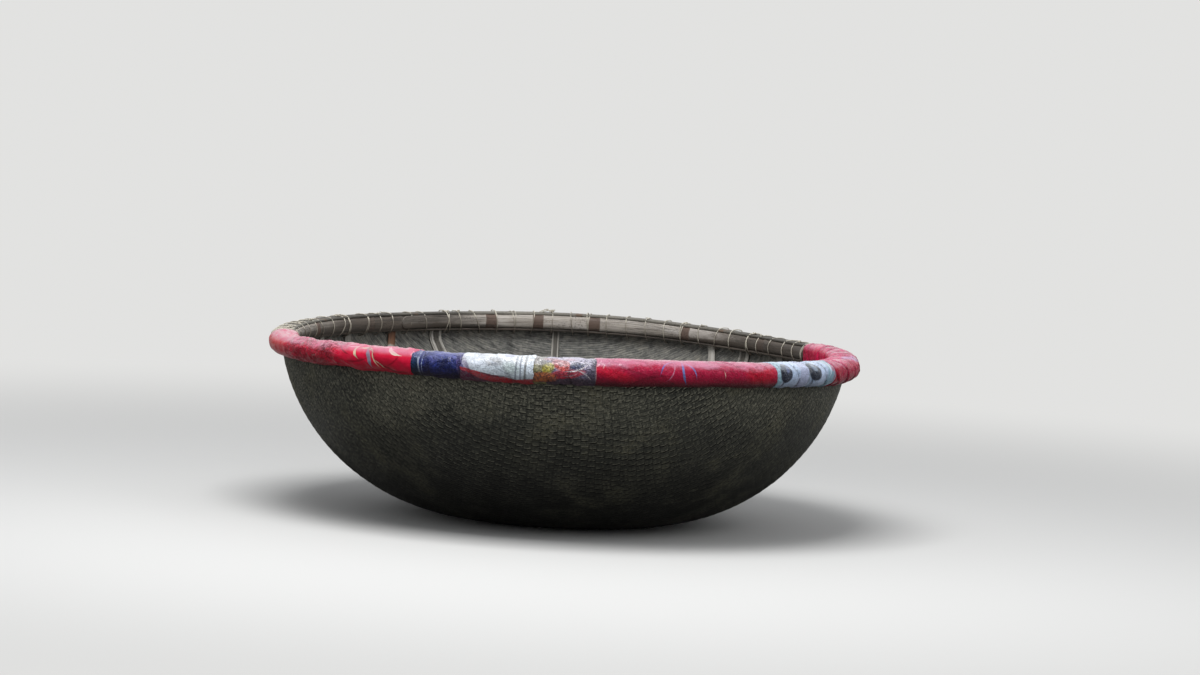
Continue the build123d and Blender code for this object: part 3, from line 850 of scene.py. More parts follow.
def make_hoop(
    name, replaces, azimuth, section, joints, seed, material,
    swell=0.0026, band_width=0.014, closed=True, soiled=0.0,
):
    """A section carried round the rim: rings of (radius, height), swollen and brown at each culm joint, waved
    a little by noise that changes slowly along the hoop, and drawn towards the bundle's middle under the
    wraps."""
    ring_r, ring_z = [np.broadcast_to(ring, (len(azimuth), ring.shape[-1])) for ring in section]
    theta = np.radians(azimuth)[:, None]
    mean_r, mean_z = ring_r.mean(axis=1, keepdims=True), ring_z.mean(axis=1, keepdims=True)
    out = np.hypot(ring_r - mean_r, ring_z - mean_z)
    dir_r, dir_z = (ring_r - mean_r) / out, (ring_z - mean_z) / out
    along = np.radians(azimuth) * HOOP_RUN_RADIUS
    near, band = np.zeros(len(azimuth)), np.zeros(len(azimuth))
    for joint in joints:
        away = np.radians(azimuth - joint) * HOOP_RUN_RADIUS
        near = np.maximum(near, np.exp(-((away / 0.005) ** 2)))
        near = np.maximum(near, 0.6 * np.exp(-(((away - band_width) / 0.005) ** 2)))
        in_band = smooth_step(-0.004, -0.001, away) * smooth_step(band_width + 0.003, band_width, away)
        band = np.maximum(band, in_band)
    around = run_length(np.stack([ring_r[len(azimuth) // 2], ring_z[len(azimuth) // 2]], axis=1))
    wave = (value_noise(along[:, None] * 5 + 60, around[None, :] * 30 + 9, seed) - 0.5) * 0.0022
    dent = value_noise(along[:, None] * 2.2 + 20, around[None, :] * 90 + 5, seed + 1)
    dent = -np.maximum(dent - 0.62, 0) * 0.006
    push = wave + dent + near[:, None] * swell
    radius = ring_r + dir_r * push
    height = ring_z + dir_z * push
    apart = np.mod(azimuth - WRAPS_UNTIL, 360) - (WRAPS_FROM - WRAPS_UNTIL)
    past_end = np.where(apart > 0, np.minimum(apart, 360 - WRAPS_FROM + WRAPS_UNTIL - apart), 0)
    share = UNDER_WRAPS + UNDER_LOWERED * np.interp(np.mod(azimuth, 360), *zip(*LOWERED))
    covered = (smooth_step(0.0, 2.0, past_end) * share)[:, None]
    radius = radius + (WRAP_CENTRE_R - radius) * covered
    height = height + (WRAP_CENTRE_Z - height) * covered
    points = np.stack([radius * np.cos(theta), radius * np.sin(theta), height], axis=-1).reshape(-1, 3)
    rows, columns = radius.shape
    last_side = math.hypot(ring_r[0, 0] - ring_r[0, -1], ring_z[0, 0] - ring_z[0, -1])
    around = np.append(around, around[-1] + last_side)
    band = np.repeat(band, columns)
    grime = np.repeat(np.maximum(np.interp(azimuth, *zip(*GRIME)), soiled), columns)
    if closed:
        whole_turn = np.append(along, along[0] + 2 * math.pi * HOOP_RUN_RADIUS)
        parts = [grid_quads(whole_turn, around, rows, columns)]
    else:
        first, last = np.arange(columns), np.arange((rows - 1) * columns, rows * columns)
        points = np.concatenate([points, [points[first].mean(axis=0)], [points[last].mean(axis=0)]])
        band, grime = np.append(band, [0, 0]), np.append(grime, [0, 0])
        parts = [
            grid_quads(along, around, rows, columns),
            fan(len(points) - 2, first, True),
            fan(len(points) - 1, last, False),
        ]
    flat_parts = 0 if closed else 2
    piece = make_piece(name, points, parts, "grain", (material,), flat_parts=flat_parts)
    add_numbers(piece, "band", band)
    add_numbers(piece, "grime", grime)
    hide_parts(replaces)


# The inner hoop's scarf: where one culm's shaved end starts, where the other's round tip ends on it, how
# many degrees before the tip its close rows start, and over how many metres the tip is rounded
SCARF_START = 121.5
SCARF_TIP = 129.6
TIP_ROWS = 1.8
TIP_ROUND = 0.026


def make_hoops():
    back = SHELL_RADIUS + GAP
    outside = back, back + OUTER_HOOP_EDGE, HOOP_RADIUS
    round_rim = rim_azimuths(0.5)
    row = np.zeros((1, 1))
    upper = half_culm(*(row + x for x in outside), row + HOOP_TOP - OUTER_HOOP_HEIGHT, row + HOOP_TOP)
    lower = half_culm(*(row + x for x in outside), row + BUNDLE_LOW, row + BUNDLE_LOW + OUTER_HOOP_HEIGHT)
    joints = joints_at(2, 9, 15, 22, 29)
    make_hoop("hoop_outer_upper", "outer_hoop_upper", round_rim, upper, joints, 11, hoop_bamboo)
    joints = joints_at(5, 12, 18, 25, 32)
    make_hoop("hoop_outer_lower", "outer_hoop_lower", round_rim, lower, joints, 12, hoop_bamboo)
    joints = joints_at(3, 8, 13, 16, 18.5, 26, 31)
    left = np.concatenate([np.arange(SCARF_START, WRAPS_FROM + 3, 0.3), np.arange(WRAPS_FROM + 3, 300, 4)])
    right = np.concatenate(
        [
            np.arange(-59.5, WRAPS_UNTIL - 3, 4),
            np.arange(WRAPS_UNTIL - 3, SCARF_TIP - TIP_ROWS, 0.3),
            SCARF_TIP - TIP_ROWS * np.linspace(1, 0, 14) ** 2,
        ]
    )
    share = np.clip((left - SCARF_START) / (SCARF_TIP - SCARF_START), 0, 1)[:, None]
    depth = 0.004 + (INNER_HOOP_DEPTH - 0.006) * share + 0.002 * smooth_step(0.9, 1.0, share)
    low = row + INNER_HOOP_LOW - 0.004 * smooth_step(0.3, 1.0, share)
    section = half_culm(
        row + INNER_HOOP_RADIUS, INNER_HOOP_RADIUS - depth * 0.45, INNER_HOOP_RADIUS - depth,
        low, row + HOOP_TOP,
    )
    section = [ring[:, ::-1] for ring in section]
    make_hoop(
        "hoop_inner_left", "inner_hoop", left, section, joints, 13, hoop_bamboo,
        band_width=0.030, closed=False,
    )
    share = np.clip((right - SCARF_START) / (SCARF_TIP - SCARF_START), 0, 1)[:, None]
    behind = np.where(share > 0, 0.0045 + (INNER_HOOP_DEPTH - 0.006) * share, 0.0)
    front = INNER_HOOP_DEPTH + 0.0035 * smooth_step(0.0, 0.7, share)
    to_tip = np.radians(SCARF_TIP - right)[:, None] * TIP_RUN_RADIUS
    tall = np.sqrt(np.clip(1 - np.clip(1 - to_tip / TIP_ROUND, 0, 1) ** 2, 0.002, 1))
    middle, half = (HOOP_TOP + INNER_HOOP_LOW) / 2, (HOOP_TOP - INNER_HOOP_LOW) / 2 - 0.0005
    edge = INNER_HOOP_RADIUS - behind - (front - behind) * 0.42
    section = half_culm(
        INNER_HOOP_RADIUS - behind, edge, INNER_HOOP_RADIUS - front,
        middle - half * tall, middle + half * tall,
    )
    section = [ring[:, ::-1] for ring in section]
    make_hoop(
        "hoop_inner_right", "inner_hoop", right, section, joints, 16, hoop_bamboo,
        band_width=0.036, closed=False,
    )
    lath_high = INNER_HOOP_LOW - GAP
    lath = rounded_bar(
        INNER_HOOP_RADIUS - LATH_DEPTH, INNER_HOOP_RADIUS, lath_high - LATH_HEIGHT, lath_high, 0.003, 4
    )
    cap_middle = (SHELL_RADIUS + INNER_HOOP_RADIUS) / 2
    cap = rounded_bar(
        cap_middle - CAP_WIDTH / 2, cap_middle + CAP_WIDTH / 2, CAP_TOP - CAP_THICKNESS, CAP_TOP, 0.003
    )
    packing_low, packing_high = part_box("inner_packing")
    packing = rounded_bar(
        INNER_HOOP_RADIUS + GAP, packing_high[0], packing_low[2], packing_high[2], 0.0015, 4
    )
    make_hoop("packing_strip", "inner_packing", round_rim, packing, (), 17, hoop_bamboo, soiled=0.6)
    joints = joints_at(11, 20, 28)
    # soiled=0.95 keeps the lath near black: painted shade under the inner hoop.
    make_hoop("lath_inner", "inner_lath", round_rim, lath, joints, 14, hoop_bamboo, 0.0010, soiled=0.95)
    make_hoop("cap_strip", "rim_cap", round_rim, cap, joints_at(6, 14, 23, 30), 15, cap_bamboo, 0.0010)


make_hoops()


# Ribs

# name, azimuths of its two ends, width, whether it lies in the upper layer, depth of its hollow, length of
# the brown stain at its first end
RIBS = (
    ("rib_fore_aft_1", 144.0, 216.0, 0.022, False, 0.0, 0.0),
    ("rib_fore_aft_2", 130.6, 229.4, 0.025, False, 0.0, 0.062),
    ("rib_fore_aft_3", 92.0, 268.0, 0.028, False, 0.0060, 0.0),
    ("rib_fore_aft_4", 56.0, 304.0, 0.026, False, 0.0, 0.0),
    ("rib_fore_aft_5", 36.0, 324.0, 0.024, False, 0.0, 0.0),
    ("rib_cross_1", 233.0, 313.4, 0.026, True, 0.0, 0.0),
    ("rib_cross_2", 205.7, 334.3, 0.024, True, 0.0, 0.040),
    ("rib_cross_3", 180.0, 360.0, 0.028, True, 0.0060, 0.0),
    ("rib_cross_4", 154.3, 25.7, 0.022, True, 0.0, 0.0),
    ("rib_cross_5", 119.4, 47.1, 0.026, True, 0.0035, 0.0),
)
LOWER_INSET = WALL + GAP
UPPER_INSET = LOWER_INSET + RIB_THICKNESS + GAP
RIB_TOP = BUNDLE_LOW + RIB_TUCK
RIB_RIM_RADIUS = SHELL_RADIUS - LOWER_INSET - RIB_THICKNESS / 2

# Length of culm between two joints of a rib, rows of points along it, and the share of its half at which it
# turns up at the rim
JOINT_PITCH = 0.34
RIB_ROWS = 131
RIB_TURN_UP = 0.88


def make_rib(name, start, end, width, upper, hollow, stain, seed):
    """A strip along the bowl: at a distance across it and a depth through it, the point runs along the
    upright plane at that distance, on the bowl's layer at that depth, and then straight up to its end at the
    rim. The section is a split culm, round on its face, or hollow there."""
    middle = math.radians((start + end) / 2)
    offset = RIB_RIM_RADIUS * math.cos(math.radians((end - start) / 2))
    turn = np.linspace(0, 2 * math.pi, 23)[:-1]
    across = np.sign(np.cos(turn)) * np.abs(np.cos(turn)) ** 0.55 * width / 2
    depth = 0.5 + 0.5 * np.sign(np.sin(turn)) * np.abs(np.sin(turn)) ** 0.55
    depth = depth - np.where(depth > 0.5, 0.28 * (2 * across / width) ** 2, 0)
    dip = hollow / RIB_THICKNESS * smooth_step(0.72, 0.34, np.abs(2 * across / width))
    depth = np.where(depth > 0.5, depth - dip, depth)
    stations = np.linspace(-1, 1, RIB_ROWS)
    out = 1 - (1 - np.abs(stations)) ** 1.7
    on_bowl = np.clip(out / RIB_TURN_UP, 0, 1)[:, None]
    rise = np.clip((out - RIB_TURN_UP) / (1 - RIB_TURN_UP), 0, 1)[:, None]
    wander = (value_noise(stations * 6 + 30, stations * 0 + seed, seed) - 0.5)[:, None] * 0.005
    taper = 1 + 0.10 * (value_noise(stations * 4 + 60, stations * 0 + seed, seed + 9) - 0.5)[:, None]
    lateral = offset + across[None, :] * taper + wander
    rim_r = SHELL_RADIUS - LOWER_INSET - depth[None, :] * RIB_THICKNESS
    ahead = np.sqrt(rim_r**2 - lateral**2) * on_bowl
    radius = np.hypot(lateral, ahead)
    layer = LOWER_INSET
    if upper:
        layer = LOWER_INSET + (UPPER_INSET - LOWER_INSET) * smooth_step(0.955, 0.90, radius / rim_r)
    inset = layer + depth[None, :] * RIB_THICKNESS
    height = bowl_height(np.minimum(radius, SHELL_RADIUS - inset), inset) + rise * (RIB_TOP - TUCK_TOP)
    y = ahead * np.sign(stations)[:, None]
    points = np.stack(
        [
            lateral * math.cos(middle) - y * math.sin(middle),
            lateral * math.sin(middle) + y * math.cos(middle),
            height,
        ],
        axis=-1,
    )
    line = points.mean(axis=1)
    along = run_length(line)
    ring = np.stack([np.append(across, across[0]), np.append(depth, depth[0]) * RIB_THICKNESS], axis=1)
    around = run_length(ring)
    rows, columns = radius.shape
    near = smooth_step(stain + 0.014, stain - 0.006, along) * (stain > 0)
    for joint in np.arange(JOINT_PITCH / 2 + 0.05 * (seed % 3), along[-1], JOINT_PITCH):
        near = np.maximum(near, np.exp(-(((along - joint) / 0.008) ** 2)))
    count = rows * columns
    piece = make_piece(
        name.replace("rib_", "split_"),
        np.concatenate([points.reshape(-1, 3), line[[0, -1]]]),
        [
            grid_quads(along, around, rows, columns),
            fan(count, np.arange(columns), True),
            fan(count + 1, np.arange(count - columns, count), False),
        ],
        "grain",
        (rib_bamboo,),
        flat_parts=2,
    )
    add_numbers(piece, "band", np.append(np.repeat(near, columns), [0, 0]))
    # The grime number holds random dirt along the rib and painted shade: on its back and the sides next to
    # the mat, and in its hollow.
    grime = 0.75 * value_noise(along * 5 + 8, along * 0 + seed * 3, seed + 2) ** 2
    hollow_shade = smooth_step(0.62, 0.40, np.abs(2 * across / width)) * (depth > 0.3)
    hollow_shade = hollow_shade * min(hollow / 0.0035, 1.0)
    grime = np.repeat(grime, columns) + np.tile(0.8 * smooth_step(0.55, 0.15, depth) + hollow_shade, rows)
    add_numbers(piece, "grime", np.append(np.minimum(grime, 1.0), [0, 0]))
    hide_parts(name)


for number, rib in enumerate(RIBS):
    make_rib(*rib, seed=21 + number)


# Lashings


def tube(path, radius, sides, closed):
    """A round tube along a path of points: rings in the plane across the path's tangent, turned least from
    one ring to the next. Returns its points and its faces with their corners' length along and share
    around."""
    path = np.asarray(path)
    if closed:
        tangent = np.roll(path, -1, axis=0) - np.roll(path, 1, axis=0)
    else:
        tangent = np.gradient(path, axis=0)
    tangent = tangent / np.linalg.norm(tangent, axis=1)[:, None]
    guide = np.array([0.0, 0.0, 1.0])
    side = np.cross(tangent, guide)
    weak = np.linalg.norm(side, axis=1) < 0.15
    side[weak] = np.cross(tangent[weak], [1.0, 0.0, 0.0])
    for k in range(1, len(side)):
        side[k] = side[k - 1] - tangent[k] * np.dot(side[k - 1], tangent[k])
        side[k] /= np.linalg.norm(side[k])
    side[0] /= np.linalg.norm(side[0])
    other = np.cross(tangent, side)
    turn = -np.arange(sides) * 2 * math.pi / sides
    ring = side[:, None, :] * np.cos(turn)[None, :, None] + other[:, None, :] * np.sin(turn)[None, :, None]
    points = (path[:, None, :] + ring * radius).reshape(-1, 3)
    along = run_length(np.concatenate([path, path[:1]]) if closed else path)
    around = np.linspace(0, 1, sides + 1)
    parts = [grid_quads(along, around, len(path), sides)]
    if not closed:
        n = len(points)
        points = np.concatenate([points, path[:1], path[-1:]])
        parts += [fan(n, np.arange(sides), True), fan(n + 1, np.arange(n - sides, n), False)]
    return points, parts


def smooth_loop(corners, count, turns=3):
    """A closed path through rounded corners: each turn of smoothing cuts every corner at a quarter of its
    sides, and the result is spaced evenly."""
    points = np.asarray(corners, dtype=float)
    for _ in range(turns):
        after = np.roll(points, -1, axis=0)
        cuts = np.stack([points * 0.75 + after * 0.25, points * 0.25 + after * 0.75], axis=1)
        points = cuts.reshape(-1, points.shape[1])
    closed = np.concatenate([points, points[:1]])
    run = run_length(closed)
    at = np.linspace(0, run[-1], count, endpoint=False)
    return np.stack([np.interp(at, run, closed[:, k]) for k in range(points.shape[1])], axis=1)


def lash_azimuths():
    """The azimuths of the lashings: an even pitch along the bare rim, and one that would meet a rib's end
    moves beside it."""
    bare = BARE_END - BARE_START
    count = int(math.radians(bare) * SHELL_RADIUS / LASH_PITCH)
    found = []
    for i in range(count):
        azimuth = BARE_START + (i + 0.5) * bare / count
        for _, start, end, width, *_ in RIBS:
            slanted = width / math.sin(math.radians(abs((start - end + 180) % 360 - 180) / 2))
            room = math.degrees((slanted / 2 + RIB_CLEAR) / INNER_HOOP_RADIUS)
            for rib_end in (start, end):
                if abs((azimuth - rib_end + 180) % 360 - 180) < room:
                    azimuth = rib_end + math.copysign(room, azimuth - rib_end)
        found.append(azimuth)
    return found


CORD_RADIUS = 0.0017
LOOP_POINTS = 56

# Azimuths of the lashings on the rim that is wrapped in the solids, and of the loose curl on top
MORE_LASHINGS = [24.6, 177.6, 179.4, 181.0, 182.6]
CURL_AZIMUTH = 95.2


def make_lashings():
    """Each lashing is one turn of cord round the bundle, or two side by side, which follows the rounded
    outline of the bundle's section, leans a little, and stands off at the top where it is slack. Some have a
    knot and its tails, and one loose curl lies on top of the far rim."""
    draw = np.random.default_rng(5)
    r = CORD_RADIUS
    crown = INNER_HOOP_RADIUS - INNER_HOOP_DEPTH
    outline = np.array(
        [
            (HOOP_RADIUS + r, HOOP_TOP - 0.010),
            (HOOP_RADIUS + r, BUNDLE_LOW + 0.012),
            (HOOP_RADIUS - 0.016, BUNDLE_LOW - r),
            (SHELL_RADIUS, BUNDLE_LOW - 2.2 * r),
            (INNER_HOOP_RADIUS - 0.002, BUNDLE_LOW + 0.001),
            (INNER_HOOP_RADIUS - LATH_DEPTH - r, INNER_HOOP_LOW - LATH_HEIGHT + 0.001),
            (crown - r, INNER_HOOP_LOW + 0.012),
            (crown - r - 0.001, HOOP_TOP - 0.016),
            (INNER_HOOP_RADIUS - 0.015, HOOP_TOP + 0.003),
            (INNER_HOOP_RADIUS - 0.004, CAP_TOP + r),
            (SHELL_RADIUS + 0.018, CAP_TOP + r),
            (HOOP_RADIUS - 0.014, HOOP_TOP + 0.003),
        ]
    )
    above = smooth_step(BUNDLE_LOW + 0.05, HOOP_TOP, outline[:, 1])
    all_points, all_parts, all_grime = [], [], []
    count = 0

    def add(piece, soiled=0.15):
        nonlocal count
        points, parts = piece
        sides = (len(points) - len(points) % np.size(soiled)) // np.size(soiled)
        grime = np.repeat(np.atleast_1d(soiled), sides)
        all_grime.append(np.concatenate([grime, np.full(len(points) - len(grime), grime[0])]))
        all_points.append(points)
        all_parts.extend((faces + count, uv) for faces, uv in parts)
        count += len(points)

    up = np.array([0, 0, 1.0])
    for azimuth in lash_azimuths() + MORE_LASHINGS:
        theta = math.radians(azimuth + draw.normal(0, 0.25))
        radial = np.array([math.cos(theta), math.sin(theta), 0])
        tangent = np.array([-math.sin(theta), math.cos(theta), 0])
        crowded = azimuth > BARE_END
        turns = 2 if crowded else 1 + (draw.random() < 0.30)
        soiled = draw.uniform(0.55, 0.95) if azimuth > 72 else draw.uniform(0.10, 0.65)
        for k in range(turns):
            slack = min(draw.exponential(0.0016), 0.005)
            section = smooth_loop(outline + above[:, None] * [0, slack], LOOP_POINTS)
            lean = draw.normal(0, 0.006)
            share = np.linspace(0, 1, LOOP_POINTS, endpoint=False)
            drift = (k - (turns - 1) / 2) * (0.009 if crowded else 2.4 * r)
            drift = drift + lean * (section[:, 1] - WRAP_CENTRE_Z) / WRAP_HALF_Z
            drift = drift + 0.7 * r * np.sin(2 * math.pi * share + draw.random() * 6)
            path = section[:, :1] * radial + section[:, 1:] * up + drift[:, None] * tangent
            clean_top = smooth_step(HOOP_TOP - 0.012, HOOP_TOP - 0.002, section[:, 1])
            # Painted shade darkens the cord where it passes under the inner hoop.
            below = smooth_step(INNER_HOOP_LOW + 0.014, INNER_HOOP_LOW + 0.002, section[:, 1])
            dirt = np.maximum(soiled * (1 - 0.95 * clean_top), 0.92 * below)
            add(tube(path, r * draw.uniform(0.85, 1.15), sides=7, closed=True), dirt)
        if draw.random() < 0.28 or crowded:
            centre = radial * (INNER_HOOP_RADIUS + draw.normal(0.004, 0.005)) + up * (CAP_TOP + 2.1 * r)
            t = np.linspace(0, 2 * math.pi, 30, endpoint=False)
            wind = (np.sin(t) + 2 * np.sin(2 * t)) * 0.0016
            across = (np.cos(t) - 2 * np.cos(2 * t)) * 0.0016
            lift = -np.sin(3 * t) * 0.0013
            knot = centre + wind[:, None] * tangent + across[:, None] * radial + lift[:, None] * up
            add(tube(knot, r * 0.9, 6, True))
            for way in (-1, 1):
                length = draw.uniform(0.006, 0.020)
                share = np.linspace(0, 1, 8)
                curl = draw.uniform(-1.2, 1.2)
                out = way * length * np.sin(share * 1.2)
                inwards = -length * (0.25 + 0.5 * draw.random()) * share**1.5
                path = (
                    centre
                    + out[:, None] * (tangent * math.cos(curl) + radial * math.sin(curl) * 0.5)
                    + inwards[:, None] * radial
                    + (length * 0.30 * np.sin(share * 2.6))[:, None] * up
                )
                add(tube(path, r * 0.85, 6, False))
    theta = math.radians(CURL_AZIMUTH)
    radial = np.array([math.cos(theta), math.sin(theta), 0])
    tangent = np.array([-math.sin(theta), math.cos(theta), 0])
    share = np.linspace(0, 1, 46)
    turn = share * 2 * math.pi * 1.8
    swing = 0.008 + 0.014 * share
    path = (
        radial * (INNER_HOOP_RADIUS + 0.006)
        + up * (CAP_TOP + r * 1.4)
        + (swing * np.cos(turn) - 0.030 * share)[:, None] * tangent
        + (swing * 0.5 * np.sin(turn))[:, None] * radial
        + (0.0055 * (1 - np.cos(turn)) * (1 - 0.4 * share))[:, None] * up
    )
    add(tube(path, r * 0.95, 7, False))
    piece = make_piece("rim_cords", np.concatenate(all_points), all_parts, "cord", (cord,))
    add_numbers(piece, "grime", np.concatenate(all_grime))
    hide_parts("rim_lashings")


make_lashings()


# Banner wraps

CREAM = (0.60, 0.53, 0.36)
INK = (0.016, 0.019, 0.034)
LAVENDER = (0.30, 0.27, 0.42)
RED = (0.38, 0.012, 0.022)

# Cloth coordinates are metres along the rim from the wrap's start, and metres round the bundle from its outer
# foot: its outside face lies between about 0.04 and 0.12, and its top between about 0.13 and 0.20.
# The third colour of each cloth is its pale wear colour and its painted sheen on top.
CRIMSON_LEFT = banner_cloth(
    "cloth_crimson_left",
    (0.58, 0.008, 0.042),
    (0.36, 0.004, 0.020),
    (0.62, 0.245, 0.36),
    (
        (past, ((0.330, 0.100), 96, 0.060), (0.44, 0.012, 0.022), 0.85),
        (stroke, ((0.130, 0.066), 0.240, 0.0260, -3, 1.5), (0.46, 0.010, 0.010), 0.80),
        (stroke, ((0.360, 0.126), 0.070, 0.0050, -8, 4.0), (0.16, 0.002, 0.030), 0.80),
        (oval, ((0.590, 0.070), 0.13, 0.050, 25), (0.36, 0.006, 0.022), 0.60),
        (stroke, ((0.755, 0.098), 0.075, 0.0110, -66, 9.0), CREAM, 0.90),
        (stroke, ((0.805, 0.114), 0.080, 0.0110, -10, -7.0), CREAM, 0.95),
        (stroke, ((0.825, 0.080), 0.085, 0.0150, 116, 3.0), (0.17, 0.22, 0.29), 0.85),
        (stroke, ((0.848, 0.074), 0.084, 0.0045, 126, -5.0), CREAM, 0.85),
        (stroke, ((0.912, 0.105), 0.090, 0.0125, -34, 8.0), (0.62, 0.58, 0.46), 0.95),
        (stroke, ((0.875, 0.060), 0.060, 0.0038, 146, 4.0), CREAM, 0.80),
        (stroke, ((0.550, 0.062), 0.034, 0.0036, 12, 14.0), (0.60, 0.36, 0.34), 0.70),
        # Of the next seven strokes, the pale pink ones are painted highlights on folds and the dark red ones
        # painted shade in folds.
        (stroke, ((0.655, 0.124), 0.060, 0.0080, -12, 6.0), (0.84, 0.60, 0.66), 0.75),
        (stroke, ((0.735, 0.118), 0.045, 0.0070, 16, -6.0), (0.84, 0.60, 0.66), 0.65),
        (stroke, ((0.700, 0.094), 0.080, 0.0060, -28, 4.0), (0.16, 0.002, 0.012), 0.75),
        (stroke, ((0.770, 0.060), 0.110, 0.0080, 10, 3.0), (0.16, 0.002, 0.012), 0.65),
        (stroke, ((0.880, 0.128), 0.070, 0.0070, -6, -4.0), (0.84, 0.60, 0.66), 0.60),
        (stroke, ((0.930, 0.070), 0.070, 0.0060, 38, 5.0), (0.18, 0.002, 0.012), 0.65),
        (stroke, ((0.600, 0.090), 0.070, 0.0070, 54, -5.0), (0.18, 0.003, 0.012), 0.65),
    ),
    wear=0.22,
    top_sheen=0.64,
    crumpled=1.0,
    low=0.50,
    crushed_from=0.32,
    crushed_to=0.68,
)
NAVY_WRAP = banner_cloth(
    "cloth_navy",
    (0.024, 0.036, 0.185),
    (0.008, 0.011, 0.060),
    (0.22, 0.24, 0.48),
    (
        (past, ((0.034, 0.10), 98), (0.010, 0.040, 0.085), 0.85),
        (stripe, ((0.034, 0.09), 0.0055, 96), (0.42, 0.48, 0.62), 0.85),
        (stripe, ((0.048, 0.09), 0.0032, 92), (0.30, 0.36, 0.55), 0.80),
        (oval, ((0.115, 0.125), 0.060, 0.040, 20), (0.060, 0.070, 0.260), 0.70),
        (oval, ((0.085, 0.094), 0.034, 0.022, -30, 0.3), (0.085, 0.095, 0.330), 0.75),
        (oval, ((0.128, 0.082), 0.036, 0.024, 40, 0.3), (0.010, 0.013, 0.065), 0.90),
        (oval, ((0.150, 0.112), 0.036, 0.022, -50, 0.3), (0.100, 0.105, 0.340), 0.70),
        (oval, ((0.068, 0.066), 0.030, 0.018, 30, 0.3), (0.010, 0.013, 0.060), 0.85),
        (past, ((0.168, 0.10), -78), (0.120, 0.085, 0.230), 0.55),
    ),
    wear=0.30,
    top_sheen=0.50,
    crumpled=0.95,
    low=0.95,
)
WHITE_WRAP = banner_cloth(
    "cloth_white",
    (0.72, 0.77, 0.84),
    (0.52, 0.58, 0.68),
    (0.90, 0.92, 0.95),
    (
        (oval, ((0.118, 0.096), 0.054, 0.036, 8, 0.40), (0.30, 0.31, 0.33), 0.75),
        (stripe, ((0.103, 0.09), 0.0050, 86), (0.060, 0.062, 0.068), 0.55),
        (stripe, ((0.114, 0.09), 0.0040, 88), (0.060, 0.062, 0.068), 0.45),
        (past, ((0.110, 0.115), 3, 0.004), (0.64, 0.71, 0.79), 0.90),
        (past, ((0.110, 0.080), 184, 0.004), (0.58, 0.65, 0.73), 0.90),
        (oval, ((0.176, 0.078), 0.060, 0.034, -20, 0.5), (0.40, 0.50, 0.46), 0.55),
        (oval, ((0.070, 0.128), 0.060, 0.020, -8, 0.30), (0.34, 0.36, 0.42), 0.60),
        (stripe, ((0.192, 0.09), 0.0060, 88), (0.17, 0.19, 0.23), 0.80),
        (stripe, ((0.206, 0.09), 0.0050, 91), (0.13, 0.15, 0.20), 0.75),
        (stripe, ((0.222, 0.09), 0.0070, 89), (0.12, 0.12, 0.11), 0.80),
        (oval, ((0.165, 0.128), 0.036, 0.022, 0, 0.30), (0.17, 0.16, 0.36), 0.70),
        (past, ((0.028, 0.09), 122), LAVENDER, 0.85),
        (past, ((0.008, 0.09), 122), (0.060, 0.050, 0.170), 0.85),
        (past, ((0.100, 0.058), 170), RED, 0.95),
        (past, ((0.200, 0.043), 183), RED, 0.95),
        (past, ((0.045, 0.052), 160), (0.045, 0.025, 0.060), 0.80),
        (stroke, ((0.120, 0.052), 0.110, 0.0060, -6, 2.0), (0.060, 0.010, 0.030), 0.70),
        (stroke, ((0.150, 0.066), 0.120, 0.0050, -24, 3.0), (0.30, 0.36, 0.42), 0.60),
        (stroke, ((0.090, 0.104), 0.100, 0.0060, -30, 3.0), (0.42, 0.48, 0.60), 0.55),
    ),
    wear=0.18,
    top_sheen=0.45,
    crumpled=0.55,
    low=0.45,
    speckle=0.12,
)
MIXED_WRAP = banner_cloth(
    "cloth_mixed",
    (0.34, 0.30, 0.44),
    (0.15, 0.14, 0.22),
    (0.72, 0.70, 0.78),
    (
        (past, ((0.130, 0.084), 4), (0.46, 0.43, 0.56), 0.70),
        (past, ((0.110, 0.062), 172, 0.006), (0.055, 0.020, 0.028), 0.85),
        (past, ((0.186, 0.080), -112, 0.010), (0.070, 0.050, 0.080), 0.75),
        (oval, ((0.112, 0.066), 0.120, 0.030, 8, 0.2), (0.50, 0.020, 0.040), 0.90),
        (oval, ((0.092, 0.100), 0.064, 0.044, -25, 0.2), (0.68, 0.080, 0.045), 0.92),
        (oval, ((0.146, 0.094), 0.052, 0.028, 10, 0.2), (0.045, 0.065, 0.140), 0.90),
        (past, ((0.046, 0.10), 92), (0.24, 0.23, 0.095), 0.92),
        (oval, ((0.052, 0.084), 0.044, 0.036, 50, 0.2), (0.44, 0.38, 0.030), 0.90),
        (oval, ((0.036, 0.052), 0.090, 0.036, 0, 0.2), (0.42, 0.120, 0.045), 0.92),
        (oval, ((0.060, 0.125), 0.050, 0.020, 15, 0.3), (0.66, 0.24, 0.22), 0.85),
        (oval, ((0.120, 0.122), 0.046, 0.016, -8, 0.3), (0.60, 0.30, 0.38), 0.75),
        (stroke, ((0.150, 0.080), 0.095, 0.0056, 20, 5.0), (0.76, 0.70, 0.74), 0.90),
        (stroke, ((0.170, 0.068), 0.060, 0.0044, -32, -6.0), (0.76, 0.70, 0.74), 0.85),
        (stroke, ((0.125, 0.060), 0.060, 0.0036, 14, 7.0), (0.62, 0.35, 0.40), 0.80),
        (stroke, ((0.160, 0.108), 0.070, 0.0046, -14, 8.0), (0.76, 0.70, 0.80), 0.80),
    ),
    wear=0.34,
    crumpled=1.0,
    low=0.42,
    speckle=0.35,
)
